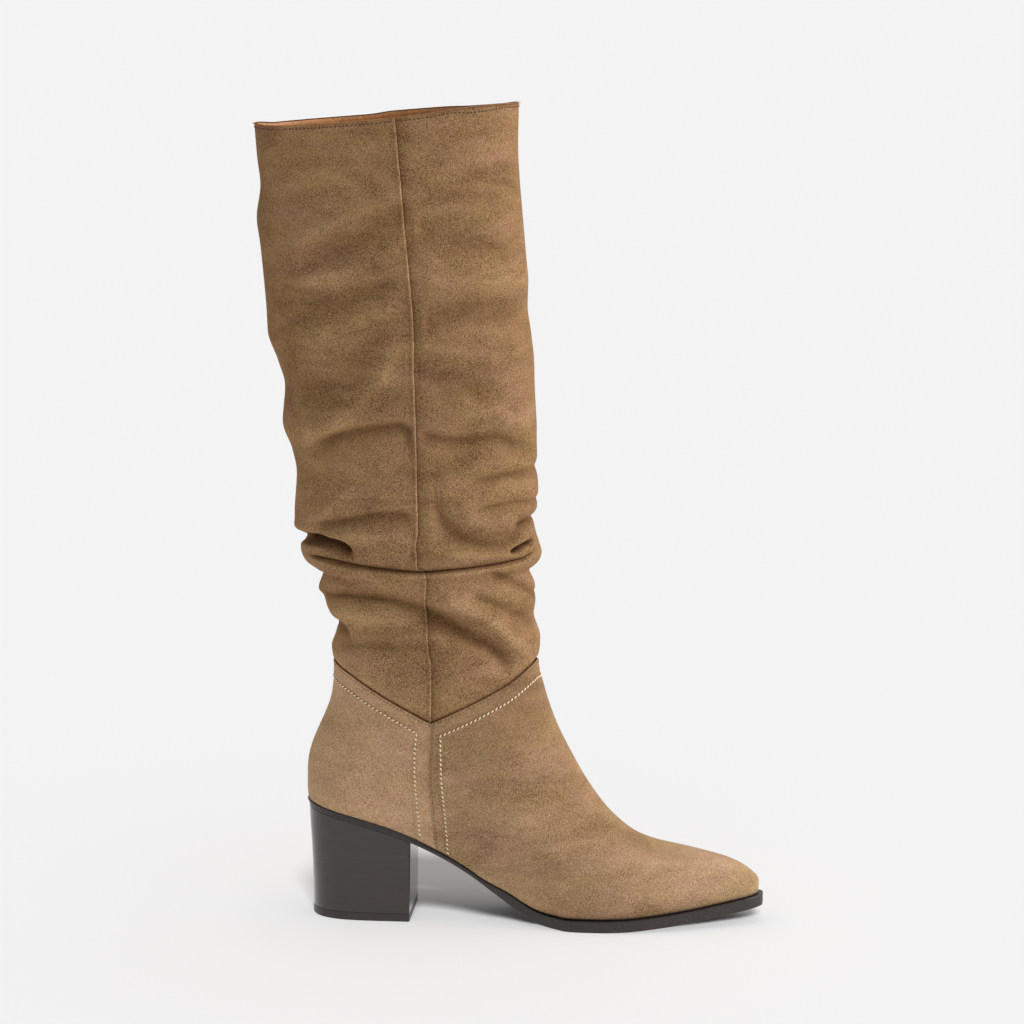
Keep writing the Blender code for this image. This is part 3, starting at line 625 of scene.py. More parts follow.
def maths(tree, operation, first, second):
    node = tree.nodes.new("ShaderNodeMath")
    node.operation = operation
    join(tree, node, 0, first)
    join(tree, node, 1, second)
    return node.outputs[0]


def noise(tree, place, scale, detail=2.0, roughness=0.5, distortion=0.0):
    node = tree.nodes.new("ShaderNodeTexNoise")
    labels = "Vector", "Scale", "Detail", "Roughness", "Distortion"
    for label, value in zip(labels, (place, scale, detail, roughness, distortion)):
        join(tree, node, label, value)
    return node.outputs["Fac"]


def mixColour(tree, how, amount, first, second):
    node = tree.nodes.new("ShaderNodeMix")
    node.data_type = "RGBA"
    node.blend_type = how
    join(tree, node, 0, amount)
    join(tree, node, 6, first)
    join(tree, node, 7, second)
    return node.outputs[2]


def stretch(tree, value, low, high, toLow, toHigh):
    node = tree.nodes.new("ShaderNodeMapRange")
    for i, part in enumerate((value, low, high, toLow, toHigh)):
        join(tree, node, i, part)
    return node.outputs[0]


# Nap of the suede: lie of the patches, then scale, detail, roughness and distortion of each noise, how much
# each one darkens and brightens, and the bump's strength and depth in metres
napLook = {
    "turn": 18, "lay": (0.6, 0.6, 1.5),
    "large": (26, 3, 0.55, 0.8), "middle": (90, 3, 0.6, 0.5), "gold": (40, 2, 0.5, 0.6),
    "fine": (1100, 2, 0.7), "fibre": (2300, 1, 0.5),
    "largeBy": (-0.26, 0.26), "middleBy": (-0.13, 0.13), "fineBy": (-0.24, 0.24), "fibreBy": (-0.50, 0.62),
    "darkest": 0.25, "shadeBy": 0.9, "powers": (0.87, 1.02, 1.21), "bump": (0.35, 0.0004),
    "rosy": (1.02, 0.99, 1.03, 1), "golden": (0.99, 1.01, 0.90, 1),
}


def makeNap():
    # the nap's colour and height: patches, mottling, speckle and the shade painted on the mesh
    tree, start, end, shade = nodeGroup("nap", [
        ("Colour", "Color", (0.3, 0.2, 0.1, 1)), ("Patches", "Float", 1.0), ("Speckle", "Float", 1.0)])
    place = tree.nodes.new("ShaderNodeTexCoord").outputs["Object"]
    lay = tree.nodes.new("ShaderNodeMapping")
    tree.links.new(place, lay.inputs["Vector"])
    lay.inputs["Rotation"].default_value = (0, math.radians(napLook["turn"]), 0)
    lay.inputs["Scale"].default_value = napLook["lay"]
    laid = lay.outputs["Vector"]
    large, middle, gold = (noise(tree, laid, *napLook[part]) for part in ("large", "middle", "gold"))
    fine, fibre = (noise(tree, place, *napLook[part]) for part in ("fine", "fibre"))
    patches = maths(tree, "ADD", stretch(tree, large, 0.32, 0.68, *napLook["largeBy"]),
                    stretch(tree, middle, 0.32, 0.68, *napLook["middleBy"]))
    patches = maths(tree, "MULTIPLY", patches, start.outputs["Patches"])
    grain = maths(tree, "ADD", stretch(tree, fine, 0.35, 0.65, *napLook["fineBy"]),
                  stretch(tree, fibre, 0.35, 0.65, *napLook["fibreBy"]))
    grain = maths(tree, "MULTIPLY", grain, start.outputs["Speckle"])
    bright = maths(tree, "ADD", maths(tree, "ADD", patches, grain), 1.0)
    bright = maths(tree, "MAXIMUM", bright, napLook["darkest"])
    shaded = maths(tree, "SUBTRACT", 1.0, maths(tree, "MULTIPLY", shade, napLook["shadeBy"]))
    bright = maths(tree, "MULTIPLY", bright, shaded)
    grey = tree.nodes.new("ShaderNodeCombineColor")
    for i, power in enumerate(napLook["powers"]):
        # dark nap is redder, pale nap more golden
        tree.links.new(maths(tree, "POWER", bright, power), grey.inputs[i])
    colour = mixColour(tree, "MULTIPLY", 1.0, start.outputs["Colour"], grey.outputs[0])
    # some areas are more golden, others rosier
    hue = mixColour(tree, "MIX", stretch(tree, gold, 0.36, 0.64, 0, 1), napLook["rosy"], napLook["golden"])
    colour = mixColour(tree, "MULTIPLY", start.outputs["Patches"], colour, hue)
    height = maths(tree, "ADD", maths(tree, "MULTIPLY", fine, 0.7), maths(tree, "MULTIPLY", fibre, 0.3))
    tree.links.new(colour, end.inputs["Colour"])
    tree.links.new(height, end.inputs["Height"])
    return tree


napGroup = makeNap()


def groupMaterial(name, group, settings, bumpStrength, bumpDepth):
    # a material whose colour and bump come from a group with these settings
    made = bpy.data.materials.new(name)
    made.use_nodes = True
    tree, shader = made.node_tree, made.node_tree.nodes["Principled BSDF"]
    surface = tree.nodes.new("ShaderNodeGroup")
    surface.node_tree = group
    setInputs(surface, settings)
    rough = tree.nodes.new("ShaderNodeBump")
    setInputs(rough, {"Strength": bumpStrength, "Distance": bumpDepth})
    tree.links.new(surface.outputs["Height"], rough.inputs["Height"])
    tree.links.new(surface.outputs["Colour"], shader.inputs["Base Color"])
    tree.links.new(rough.outputs["Normal"], shader.inputs["Normal"])
    return made, shader, surface


def suede(name, colour, patches, speckle):
    # patches and speckle are their strengths
    settings = {"Colour": (*colour, 1), "Patches": patches, "Speckle": speckle}
    made, shader, _ = groupMaterial(name, napGroup, settings, *napLook["bump"])
    setInputs(shader, {
        "Roughness": 0.95, "Specular IOR Level": 0.15, "Sheen Weight": 0.25, "Sheen Roughness": 0.6,
        "Sheen Tint": (*[min(1, c * 2.2) for c in colour], 1)})
    return made


def makeGrain():
    # colour and height of leather, rubber and thread: broad clouds, fine grain, and the shade on the mesh
    tree, start, end, shade = nodeGroup("grain", [
        ("Colour", "Color", (0.1, 0.1, 0.1, 1)), ("Lay", "Vector", (1, 1, 1)), ("Broad", "Float", 60.0),
        ("Fine", "Float", 900.0), ("Clouds", "Float", 0.1), ("Grain", "Float", 0.1)])
    lay = tree.nodes.new("ShaderNodeVectorMath")
    lay.operation = "MULTIPLY"
    join(tree, lay, 0, tree.nodes.new("ShaderNodeTexCoord").outputs["Object"])
    join(tree, lay, 1, start.outputs["Lay"])
    broad, fine = (noise(tree, lay.outputs[0], start.outputs[scale]) for scale in ("Broad", "Fine"))
    clouds, grain = (
        maths(tree, "MULTIPLY", stretch(tree, part, 0.3, 0.7, -1, 1), start.outputs[amount])
        for part, amount in ((broad, "Clouds"), (fine, "Grain")))
    bright = maths(tree, "ADD", maths(tree, "ADD", clouds, grain), 1.0)
    bright = maths(tree, "MULTIPLY", bright, maths(tree, "SUBTRACT", 1.0, shade))
    grey = tree.nodes.new("ShaderNodeCombineColor")
    for i in range(3):
        tree.links.new(bright, grey.inputs[i])
    colour = mixColour(tree, "MULTIPLY", 1.0, start.outputs["Colour"], grey.outputs[0])
    tree.links.new(colour, end.inputs["Colour"])
    tree.links.new(fine, end.inputs["Height"])
    return tree


grainGroup = makeGrain()


def grained(name, look):
    settings = {"Colour": (*look["colour"], 1), "Lay": look.get("lay", (1, 1, 1))}
    settings.update(zip(("Broad", "Fine", "Clouds", "Grain"), look["grain"]))
    made, shader, grain = groupMaterial(name, grainGroup, settings, look["bump"], 0.0003)
    tree = made.node_tree
    roughness = stretch(tree, grain.outputs["Height"], 0.3, 0.7, *look["roughness"])
    tree.links.new(roughness, shader.inputs["Roughness"])
    setInputs(shader, {"Coat Weight": look.get("coat", 0), "Coat Roughness": look.get("coatRoughness", 0.1)})
    return made


legSuede = suede("legSuede", (0.280, 0.158, 0.076), 1.0, 1.1)
vampSuede = suede("vampSuede", (0.370, 0.227, 0.124), 0.9, 0.85)
quarterSuede = suede("quarterSuede", (0.500, 0.311, 0.176), 0.5, 0.8)
# grain is the scale of clouds and of fine grain, then the strength of each
liningLeather = grained("liningLeather", {
    "colour": (0.54, 0.24, 0.085), "grain": (70, 900, 0.16, 0.34), "bump": 0.6, "roughness": (0.45, 0.7)})
heelStack = grained("heelStack", {
    "colour": (0.034, 0.024, 0.020), "lay": (0.03, 0.03, 1), "grain": (320, 1100, 0.10, 0.12), "bump": 0.04,
    "roughness": (0.13, 0.18), "coat": 0.3, "coatRoughness": 0.05})
soleEdge = grained("soleEdge", {
    "colour": (0.033, 0.025, 0.0215), "grain": (120, 900, 0.12, 0.15), "bump": 0.1,
    "roughness": (0.26, 0.36)})
tipRubber = grained("tipRubber", {
    "colour": (0.044, 0.034, 0.031), "grain": (150, 1400, 0.10, 0.12), "bump": 0.1,
    "roughness": (0.36, 0.48)})
creamThread = grained("creamThread", {
    "colour": (0.95, 0.78, 0.54), "grain": (200, 1800, 0.10, 0.25), "bump": 0.3, "roughness": (0.6, 0.8)})
toneThread = grained("toneThread", {
    "colour": (0.20, 0.13, 0.075), "grain": (200, 1800, 0.15, 0.25), "bump": 0.3, "roughness": (0.7, 0.9)})
# dark thread of the collar row; the same dark is the painted shade in the needle holes
darkThreadAndHoleShade = grained("darkThreadAndHoleShade", {
    "colour": (0.085, 0.052, 0.028), "grain": (200, 1800, 0.15, 0.25), "bump": 0.3, "roughness": (0.7, 0.9)})

print("leg")
dress(legPanel("legFront", 0.25, 0.75, False), legSuede, ["shaft"])
dress(legPanel("legBack", -0.25, 0.25, True), legSuede, ["shaft"])


# Lining, in millimetres: how far it lies inside the skin, how much more inside the foot and less at the top
# edge, how it closes over the shaft's rim and turns in at the insole, and shade, middle and width of the
# bands of its seam tape: a pale ridge with dark edges
liningCut = {
    "inset": 1.75, "footMore": 0.45, "topLess": 0.5, "top": (1.05, 0.45), "turnIn": (2.5, 1.6),
    "tape": ((-0.35, 0, 1.1), (0.2, 1.9, 0.5)),
}


def lining():
    turns = spacedTurns(0.25, 1.25, 22, 1.6, 1.6, 1)[::-1]
    rows = np.concatenate([np.linspace(0.3, 8, 40)[:-1], np.linspace(8, collarRow, 260)])
    base = bootSkin(turns[None, :], rows[:, None])
    normal = -outwardOf(base)
    # it stays inside the deepest fold just above and below each point
    moved = [base + np.array([0, 0, lift]) for lift in (-2.4, -1.2, 0.0, 1.2, 2.4)]
    out = np.minimum.reduce([legForm(points)[0] for points in moved])
    above = base[..., 2] - bootSkin(turns, seamRows(turns))[None, :, 2]
    out = out * ease(0, legCut["foldsFrom"], above) - legCut["tuck"] * (1 - ease(3, 8, above))
    inset = liningCut["inset"] + liningCut["footMore"] * (1 - ease(-2, 1, above))
    inset = inset - liningCut["topLess"] * ease(-3, 0, rows[:, None] - collarRow)
    points = base + normal * (out - inset)[..., None]
    inwards = points[0] + np.array([0, 0, liningCut["turnIn"][1]]) + normal[0] * liningCut["turnIn"][0]
    top = base[-1] + normal[-1] * liningCut["top"][0] + np.array([0, 0, liningCut["top"][1]])
    points = np.concatenate([inwards[None], points, top[None]])
    away = np.abs(bootSkin(turns, collarRow)[:, 0] - bootSkin(0.75, collarRow)[0])
    tape = sum(amount * bump(away, middle, width) for amount, middle, width in liningCut["tape"])
    return layGrid("lining", points, np.broadcast_to(tape, points.shape[:2]).copy())


dress(lining(), liningLeather, ["shaft", "upper"])

# Foot panels, in millimetres: lift of the vamp, lap of the quarter under it (it is pressed in there and gets
# painted shade), the turned top edge (its steps below the seam and how far each drops in), how the suede is
# drawn in along the sole, and how far below and beside the seams the stitch rows run. The painted shades
# (under the top edge, beside the lap, along the sole, in the pressed stitch rows) have their reach too
foot = {
    "lift": 0.6, "lap": 3.0, "rows": 118, "columnStep": (0.35, 1.5), "seamReach": 9,
    "edgeSteps": (1.6, 1.0, 0.6, 0.35, 0.16, 0.05, 0.0, 0.0),
    "edgeDrop": (0, 0, 0.02, 0.10, 0.28, 0.55, 1.0, 1.9),
    "sideDrop": 1.6, "sideRound": 0.55, "drawnIn": 0.9, "drawnReach": 1.2, "lapPress": 0.25,
    "topShade": (0.15, 3.0), "lapShade": (0.45, 0.4), "soleShade": (0.2, 0.6), "pressShade": 0.16,
    "stitchBelow": 9.6, "frontRow": 7.2, "backRow": 12.0, "toneRow": 1.6, "press": 0.28, "pressWidth": 0.9,
}


def footPanel(name, start, end, raised):
    turns = spacedTurns(start, end, 1.5, *foot["columnStep"], foot["seamReach"])
    seam = seamRows(turns)
    speed = np.linalg.norm(bootSkin(turns, seam) - bootSkin(turns, seam - 0.05), axis=1) / 0.05
    body = np.linspace(0, 1, foot["rows"])[:-1]
    rows = [(seam - foot["edgeSteps"][0] / speed) * share**0.9 for share in body]
    rows = np.stack(rows + [seam - step / speed for step in foot["edgeSteps"]])
    drops = np.concatenate([np.zeros(len(body)), foot["edgeDrop"]])[:, None]
    base = bootSkin(turns[None, :], rows)
    normal = outwardOf(base)
    run = runAlong(bootSkin(turns, 4.0))
    away = np.minimum(run, run[-1] - run)[None, :]
    # painted shade under the turned top edge
    amount, reach = foot["topShade"]
    shade = amount * np.exp(-np.arange(len(rows))[::-1, None] / reach)
    if raised:
        out = foot["lift"] * ease(0, 1.5, rows)
        out = out - foot["sideDrop"] * (1 - ease(0, foot["sideRound"], away)) ** 2
    else:
        out = -foot["lapPress"] * (1 - ease(foot["lap"] * 0.5, foot["lap"] * 1.4, away))
        # painted shade where the quarter lies under the vamp's edge
        amount, reach = foot["lapShade"]
        shade = shade + amount * bump(away, foot["lap"], reach)
    height = base[..., 2] - base[:1, :, 2]
    tight = foot["drawnIn"] * np.exp(-height / foot["drawnReach"])
    # painted shade where the suede meets the sole
    amount, reach = foot["soleShade"]
    shade = shade + amount * np.exp(-height / reach)
    # stitch rows press into the suede, with painted shade along them
    seamZ = seamHeight(base[..., 0])
    slope = np.gradient(seamZ, axis=1) / np.gradient(base[..., 0], axis=1)
    under = (seamZ - base[..., 2]) / np.sqrt(1 + slope**2)
    below, width = foot["stitchBelow"], foot["pressWidth"]
    aside = foot["frontRow"] if raised else foot["backRow"] + foot["lap"]
    alongTop = bump(under, below * 0.82, width) * ease(aside - 1, aside + 1, away)
    downSide = bump(away, aside, width) * ease(below - 2, below, under)
    pressed = np.maximum(alongTop, downSide)
    shade = shade + foot["pressShade"] * pressed + paintedLightAndShade(footLightAndShade, base[..., 0], base[..., 2])
    return layGrid(name, base + normal * (out - drops - tight - foot["press"] * pressed)[..., None], shade)


print("foot")
dress(footPanel("vamp", 0.25, 0.75, True), vampSuede, ["upper"])
lapTurn = foot["lap"] / (np.linalg.norm(bootSkin(0.2505, 5.0) - bootSkin(0.2495, 5.0)) / 0.001)
dress(footPanel("quarter", -0.25 - lapTurn, 0.25 + lapTurn, False), quarterSuede, ["upper"])


def closedLoop(piece):
    # joins the first and last column of a round piece
    deselect()
    piece.select_set(True)
    bpy.context.view_layer.objects.active = piece
    bpy.ops.object.mode_set(mode="EDIT")
    bpy.ops.mesh.select_all(action="SELECT")
    bpy.ops.mesh.remove_doubles(threshold=0.00001)
    bpy.ops.mesh.normals_make_consistent(inside=False)
    bpy.ops.object.mode_set(mode="OBJECT")
    bpy.ops.object.shade_smooth_by_angle(angle=math.radians(40))
    return piece


# Heel, in millimetres: rounding of the breast's edges, vertices along a side and across the breast, how far
# block and tip stay off each other, the rounding of the lower and upper edge of each, and how far in from its
# edge a face has a ring
heel = {
    "corner": 1.3, "steps": 48, "inwards": (3, 12, 100), "breastSteps": 14, "apart": 0.05,
    "blockRound": (0.12, 0.2), "tipRound": (0.4, 0.12),
}
quarterTurn = [math.pi / 2 * k / 4 for k in range(5)]  # steps of a rounded edge


def heelPlan(level, inset):
    # the heel's outline at a level from its tread (0) to the seat (1), drawn in by the inset
    corner, seatStart = heel["corner"], seatBack + last["heelInset"]
    back = seatStart + (last["heelSetback"] - last["heelInset"]) * (1 - level**3)
    breast = last["treadLength"] / 2 + (seatBack + last["seatDepth"] - last["treadLength"] / 2) * level
    share = 1 - np.cos(0.5 * np.pi * np.linspace(0, 1, heel["steps"]))
    bend = np.linspace(0, math.pi / 2, 9)[1:]
    x = np.concatenate([back + share * (breast - corner - back), breast - corner + corner * np.sin(bend)])
    cut = np.concatenate([np.zeros(heel["steps"]), corner * (1 - np.cos(bend))])
    seatShare = (x - seatStart) / upperLength
    along = np.clip((x - back) / (breast - back), 0, 1)
    tread = last["treadWidth"] / 2 * (1 - (1 - along) ** last["treadSquare"]) ** 0.5
    sides = []
    for side in (-1, 1):
        seat = outlineHalf(seatShare, side) - last["heelInset"] * ease(0, last["heelRound"] / 2, seatShare)
        half = tread + (seat - tread) * level
        half[0] = 0
        sides.append(half - cut)
    outer, inner = sides
    front = -outer[-1] + (inner[-1] + outer[-1]) * np.linspace(0, 1, heel["breastSteps"])[1:-1]
    loop = np.concatenate([
        np.stack([x, -outer], axis=1),
        np.stack([np.full_like(front, breast), front], axis=1),
        np.stack([x, inner], axis=1)[::-1],
    ])
    centre = np.array([(back + breast) / 2, 0.0])
    reach = np.linalg.norm(loop - centre, axis=1, keepdims=True)
    return loop + (centre - loop) / reach * np.minimum(inset, reach * 0.98)


def heelPart(name, low, high, bottomRound, topRound):
    # rings from the middle of the underside out to its edge, up the side and in over the top
    rows, tip = [], last["tipThick"]

    def ring(height, inset):
        level = max(0.0, (height - tip) / (last["heelHeight"] - tip))
        loop = heelPlan(level, inset)
        z = np.full(len(loop), height) if height <= tip else tip + level * (soleUnder(loop[:, 0]) - tip)
        rows.append(np.column_stack([loop, z]))

    for inset in heel["inwards"][::-1]:
        ring(low, inset)
    for angle in quarterTurn:
        ring(low + bottomRound * (1 - math.cos(angle)), bottomRound * (1 - math.sin(angle)))
    count = max(2, int((high - low) / 2))
    for k in range(1, count):
        ring(low + bottomRound + (high - low - bottomRound - topRound) * k / count, 0)
    for angle in quarterTurn:
        ring(high - topRound + topRound * math.sin(angle), topRound * (1 - math.cos(angle)))
    for inset in heel["inwards"]:
        ring(high, inset)
    return closedLoop(layGrid(name, np.stack(rows)))


print("heel and sole")
blockLow, blockHigh = last["tipThick"] + heel["apart"], last["heelHeight"] - heel["apart"]
dress(heelPart("heelBlock", blockLow, blockHigh, *heel["blockRound"]), heelStack, ["heel"])
tipHigh = last["tipThick"] - heel["apart"]
dress(heelPart("heelTip", 0.0, tipHigh, *heel["tipRound"]), tipRubber, ["heel_tip"])

# Outsole, in millimetres: how far its faces start inside the edge, bulge of the edge between, rounding of the
# lower and upper edge, and the shares of the way in to the middle where a face has a ring
sole = {
    "steps": 210, "inset": 0.5, "bulge": 0.06, "bulgeFrom": 1.0, "bottomRound": 0.45, "topRound": 0.4,
    "inwards": (0.04, 0.15, 0.4, 0.7, 1.0), "spineEnd": 6,
}


def outsole():
    # the outline is a closed loop: the outer side from heel to toe, then back along the inner side
    start, end = seatBack + last["waistInset"], seatBack + last["length"]
    share = (1 - np.cos(np.pi * np.linspace(0, 1, sole["steps"]))) / 2
    fore = ease(0.42, 0.56, share)
    margin = last["toeMargin"] * fore
    margin = margin - last["waistInset"] * ease(0, last["heelRound"] / 2, share) * (1 - fore)
    margin[0] = margin[-1] = 0
    x = start + share * (end - start)
    outer = np.stack([x, -outlineHalf(share, -1) - margin], axis=1)
    inner = np.stack([x, outlineHalf(share, 1) + margin], axis=1)
    loop = np.concatenate([outer, inner[::-1]])
    along = np.gradient(loop, axis=0)
    along = along / np.maximum(np.linalg.norm(along, axis=1, keepdims=True), 1e-9)
    outward = np.stack([along[:, 1], -along[:, 0]], axis=1)
    heelX, toeX = loop[:, 0].min(), loop[:, 0].max()
    outward[loop[:, 0] > toeX - 0.02] = (1, 0)
    outward[loop[:, 0] < heelX + 0.02] = (-1, 0)
    spineX = np.clip(loop[:, 0], heelX + sole["spineEnd"], toeX - sole["spineEnd"])
    spine = np.stack([spineX, np.zeros(len(loop))], axis=1)
    rows = []

    def ring(share, inset, top, drop):
        flat = loop - outward * inset
        flat = flat + (spine - flat) * share
        z = soleOver(flat[:, 0]) - drop if top else soleUnder(flat[:, 0]) + drop
        rows.append(np.column_stack([flat, z]))

    for share in sole["inwards"][::-1]:
        ring(share, sole["inset"], False, 0)
    below, above = sole["bottomRound"], sole["topRound"]
    for angle in quarterTurn:
        ring(0, below * (1 - math.sin(angle)), False, below * (1 - math.cos(angle)))
    for top in (False, True):
        ring(0, -sole["bulge"], top, sole["bulgeFrom"])
    for angle in quarterTurn:
        ring(0, above * (1 - math.cos(angle)), True, above * (1 - math.sin(angle)))
    for share in sole["inwards"]:
        ring(share, sole["inset"], True, 0)
    return closedLoop(layGrid("outsole", np.stack(rows)))


dress(outsole(), soleEdge, ["outsole"])

# Rand, in millimetres: it gets slimmer between two shares of the boot's length
rand = {
    "row": 0.06, "radius": 0.85, "out": -0.4, "above": -0.1,
    "slimFrom": 0.19, "slimTo": 0.31, "slimmer": 0.75,
}


def randWelt():
    # a thin dark roll between the suede and the sole, from the heel forward into the waist
    base, normal = skinFrame(spacedTurns(-0.5, 0.5, 0.2, 1.6, 1.6, 1), rand["row"])
    share = (base[:, 0] - seatBack) / last["length"]
    size = rand["radius"] * (1 - rand["slimmer"] * ease(rand["slimFrom"], rand["slimTo"], share))
    rows = []
    for k in range(8, -1, -1):
        angle = 2 * math.pi * k / 8
        up = rand["above"] * size / rand["radius"] - size * math.sin(angle)
        rows.append(base + normal * (rand["out"] + size * math.cos(angle))[:, None] + up[:, None] * (0, 0, 1))
    return closedLoop(layGrid("rand", np.stack(rows)))


dress(randWelt(), soleEdge)

# carried over: the insole keeps its solid and gets the lining's leather
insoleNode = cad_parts["insole"]
insoleNode.data.materials.clear()
insoleNode.data.materials.append(liningLeather)

print("stitches")
# Stitches, in millimetres: slant is in radians, shift is a share of the pitch
stitches = {
    "cream": {"thread": creamThread, "pitch": 2.65, "long": 2.15, "radius": 0.47, "slant": 0.35, "shift": 0},
    # painted shade in the needle holes, as small dark balls
    "holeShade": {"thread": darkThreadAndHoleShade, "pitch": 2.65, "long": 0.8, "radius": 0.36, "slant": 0, "shift": 0.5},
    "tone": {"thread": toneThread, "pitch": 2.2, "long": 1.5, "radius": 0.3, "slant": 0, "shift": 0},
    "dark": {"thread": darkThreadAndHoleShade, "pitch": 2.3, "long": 1.6, "radius": 0.36, "slant": 0, "shift": 0},
}


def sewn(kind, place, turns, rows, lift):
    # a row of stitches along a line on the boot: one small ball, repeated, then each moved onto its place
    stitch = stitches[kind]
    path, normals = skinFrame(turns, rows)
    run = runAlong(path)
    count = max(2, int(run[-1] / stitch["pitch"]))
    middles = (np.arange(count) + 0.5 + stitch["shift"]) * run[-1] / count

    def read(values, places):
        return np.stack([np.interp(places, run, values[:, i]) for i in range(3)], axis=1)

    at, out = read(path, middles), read(normals, middles)
    ahead = read(path, middles + 0.5) - read(path, middles - 0.5)
    out /= np.linalg.norm(out, axis=1, keepdims=True)
    ahead -= out * (ahead * out).sum(axis=1, keepdims=True)
    ahead /= np.linalg.norm(ahead, axis=1, keepdims=True)
    across = np.cross(out, ahead)
    lean, straight = math.sin(stitch["slant"]), math.cos(stitch["slant"])
    ahead, across = ahead * straight + across * lean, across * straight - ahead * lean
    deselect()
    bpy.ops.mesh.primitive_uv_sphere_add(segments=8, ring_count=7, radius=1)
    piece = bpy.context.object
    piece.name = kind + place
    corners = np.array([v.co for v in piece.data.vertices])
    repeat = piece.modifiers.new("repeat", "ARRAY")
    repeat.count = count
    bpy.ops.object.modifier_apply(modifier="repeat")
    blunt = np.sign(corners[:, 0]) * np.abs(corners[:, 0]) ** 0.7
    placed = (
        at[:, None]
        + ahead[:, None] * (blunt * stitch["long"] / 2)[None, :, None]
        + across[:, None] * (corners[:, 1] * stitch["radius"])[None, :, None]
        + out[:, None] * (corners[:, 2] * stitch["radius"] * 0.8 + lift - 0.12 * blunt**2)[None, :, None]
    )
    piece.data.vertices.foreach_set("co", (placed * mm).reshape(-1).astype(np.float32))
    piece.data.update()
    bpy.ops.object.shade_smooth()
    dress(piece, stitch["thread"])


def cornered(side, fromEnd, seamGap, lower, bottomRow):
    # turns and rows of a stitch line: along the ankle seam to the side seam, then down beside it
    middle, sign = (0.25, 1) if side < 0 else (0.75, -1)

    def beside(rows):
        across = bootSkin(middle + 0.001, rows) - bootSkin(middle - 0.001, rows)
        return middle + sign * seamGap / (np.linalg.norm(across, axis=-1) / 0.002)

    turns = np.linspace(fromEnd, beside(6.0), 260)
    rows = seamRows(turns, lower)
    downRows = np.linspace(rows[-1], bottomRow, 160)
    downTurns = beside(downRows)
    downTurns = downTurns + (turns[-1] - downTurns[0]) * np.linspace(1, 0, 160) ** 4
    return np.concatenate([turns, downTurns[1:]]), np.concatenate([rows, downRows[1:]])


for side, tag in ((-1, "Outer"), (1, "Inner")):
    backEnd, seamTurn = (0.0, 0.25) if side < 0 else (1.0, 0.75)
    # cream stitches, each two with a small dark ball between them as painted shade in the needle hole, then
    # stitches of the suede's own tone
    for row, lift, line in (
        ("Back", 0.02, cornered(side, backEnd, -foot["backRow"], foot["stitchBelow"], 0.45)),
        ("Front", foot["lift"] - 0.02, cornered(side, 0.5, foot["frontRow"], foot["stitchBelow"], 0.2)),
    ):
        sewn("cream", row + tag, *line, lift)
        sewn("holeShade", row + tag, *line, lift - 0.1)
    line = cornered(side, 0.5, foot["toneRow"], foot["toneRow"], 0.2)
    sewn("tone", "Front" + tag, *line, foot["lift"] + 0.02)
    turns = np.linspace(backEnd, seamTurn, 260)
    sewn("tone", "Back" + tag, turns, seamRows(turns, foot["toneRow"]), 0.02)

# the row under the top edge runs a little lower in front of the outer side seam
turns = np.linspace(0.25, 1.25, 700)
edge = bootSkin(turns, collarRow)
under = 1.5 + 1.2 * ease(48, 62, edge[:, 0]) * (1 - ease(68, 78, edge[:, 0])) * (edge[:, 1] < 0)
sewn("dark", "Collar", turns, rowsAtHeights(turns % 1, (edge[:, 2] - under)[None, :])[0], 0.05)

print("stage")
# Studio: strength and spread (degrees) of each light and the way it shines, and how bright the surroundings
# are: they are darker behind the heel
studio = {
    "key": (2.5, 40, (-1.0, 0.02, -0.68)), "fill": (2.45, 15, (-0.07, 1.0, -1.1)),
    "around": (-0.95, -0.15, 0.18, 0.475), "floor": 0.9,
}
deselect()
bpy.ops.mesh.primitive_plane_add(size=60)
floor = bpy.context.object
floor.name = "floor"
floorPaint = bpy.data.materials.new("floorPaint")
floorPaint.use_nodes = True
setInputs(floorPaint.node_tree.nodes["Principled BSDF"], {
    "Base Color": (*[studio["floor"]] * 3, 1), "Roughness": 1, "Specular IOR Level": 0})
floor.data.materials.append(floorPaint)
floor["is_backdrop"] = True

world = bpy.data.worlds.new("studio")
world.use_nodes = True
bpy.context.scene.world = world
sky = world.node_tree
background = sky.nodes["Background"]
background.inputs["Color"].default_value = (1, 1, 1, 1)
direction = sky.nodes.new("ShaderNodeSeparateXYZ")
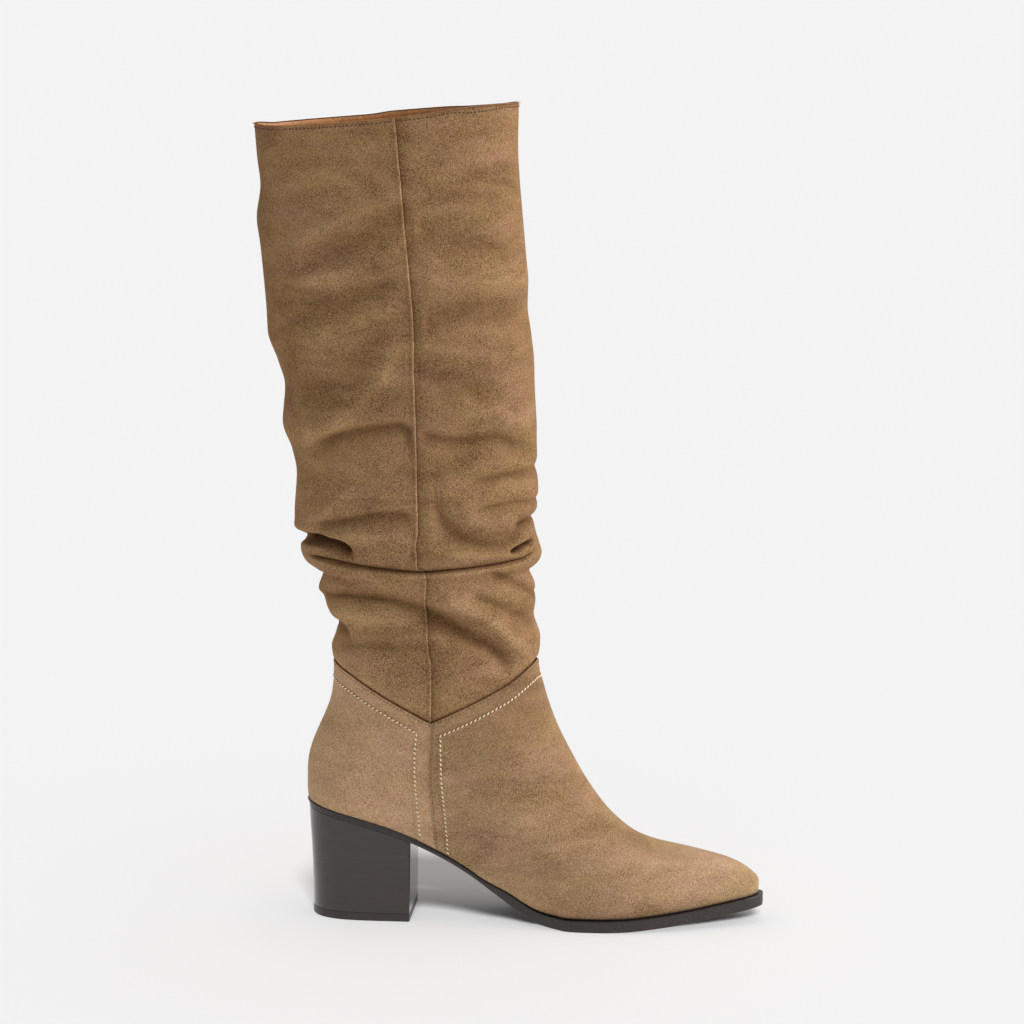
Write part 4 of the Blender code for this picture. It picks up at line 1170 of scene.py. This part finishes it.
sky.links.new(sky.nodes.new("ShaderNodeTexCoord").outputs["Generated"], direction.inputs[0])
sky.links.new(stretch(sky, direction.outputs["X"], *studio["around"]), background.inputs["Strength"])


def gathered(name, pieces):
    collection = bpy.data.collections.new(name)
    for piece in pieces:
        collection.objects.link(piece)
    return collection


def sun(name, receivers):
    strength, spread, heading = studio[name]
    light = bpy.data.lights.new(name, "SUN")
    light.energy = strength
    light.angle = math.radians(spread)
    lamp = bpy.data.objects.new(name, light)
    bpy.context.scene.collection.objects.link(lamp)
    lamp.rotation_euler = Vector(heading).to_track_quat("-Z", "Y").to_euler()
    lamp.light_linking.receiver_collection = receivers
    return lamp


# the key light falls on the boot alone, so that the floor stays even
sun("key", gathered("lit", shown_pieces()))
fill = sun("fill", gathered("ground", [floor]))
# the foot shades the floor under the arch; the leg throws no shadow on the white behind it
low = ("vamp", "quarter", "outsole", "heelBlock", "heelTip", "rand")
fill.light_linking.blocker_collection = gathered("blockers", [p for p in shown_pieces() if p.name in low])
bpy.context.scene.view_settings.view_transform = "Standard"

# The photograph's view: target and distance in metres, angles in degrees, focal length in millimetres
shot = {
    "target": (0.08215, 0, 0.2318), "distance": 2.3, "elevation": 8.8, "azimuth": 4.0, "roll": 0.5,
    "lens": 143.75,
}
elevation, azimuth, roll = (math.radians(shot[name]) for name in ("elevation", "azimuth", "roll"))
level = math.cos(elevation)
backward = Vector((math.sin(azimuth) * level, -math.cos(azimuth) * level, math.sin(elevation)))
right = Vector((math.cos(azimuth), math.sin(azimuth), 0))
upward = backward.cross(right)
rolledRight = right * math.cos(roll) + upward * math.sin(roll)
rolledUp = upward * math.cos(roll) - right * math.sin(roll)
lens = bpy.data.cameras.new("photo")
lens.lens = shot["lens"]
lens.sensor_width = 36
camera = bpy.data.objects.new("photo", lens)
bpy.context.scene.collection.objects.link(camera)
turned = Matrix((rolledRight, rolledUp, backward)).transposed().to_4x4()
camera.matrix_world = Matrix.Translation(Vector(shot["target"]) + backward * shot["distance"]) @ turned
bpy.context.scene.camera = camera
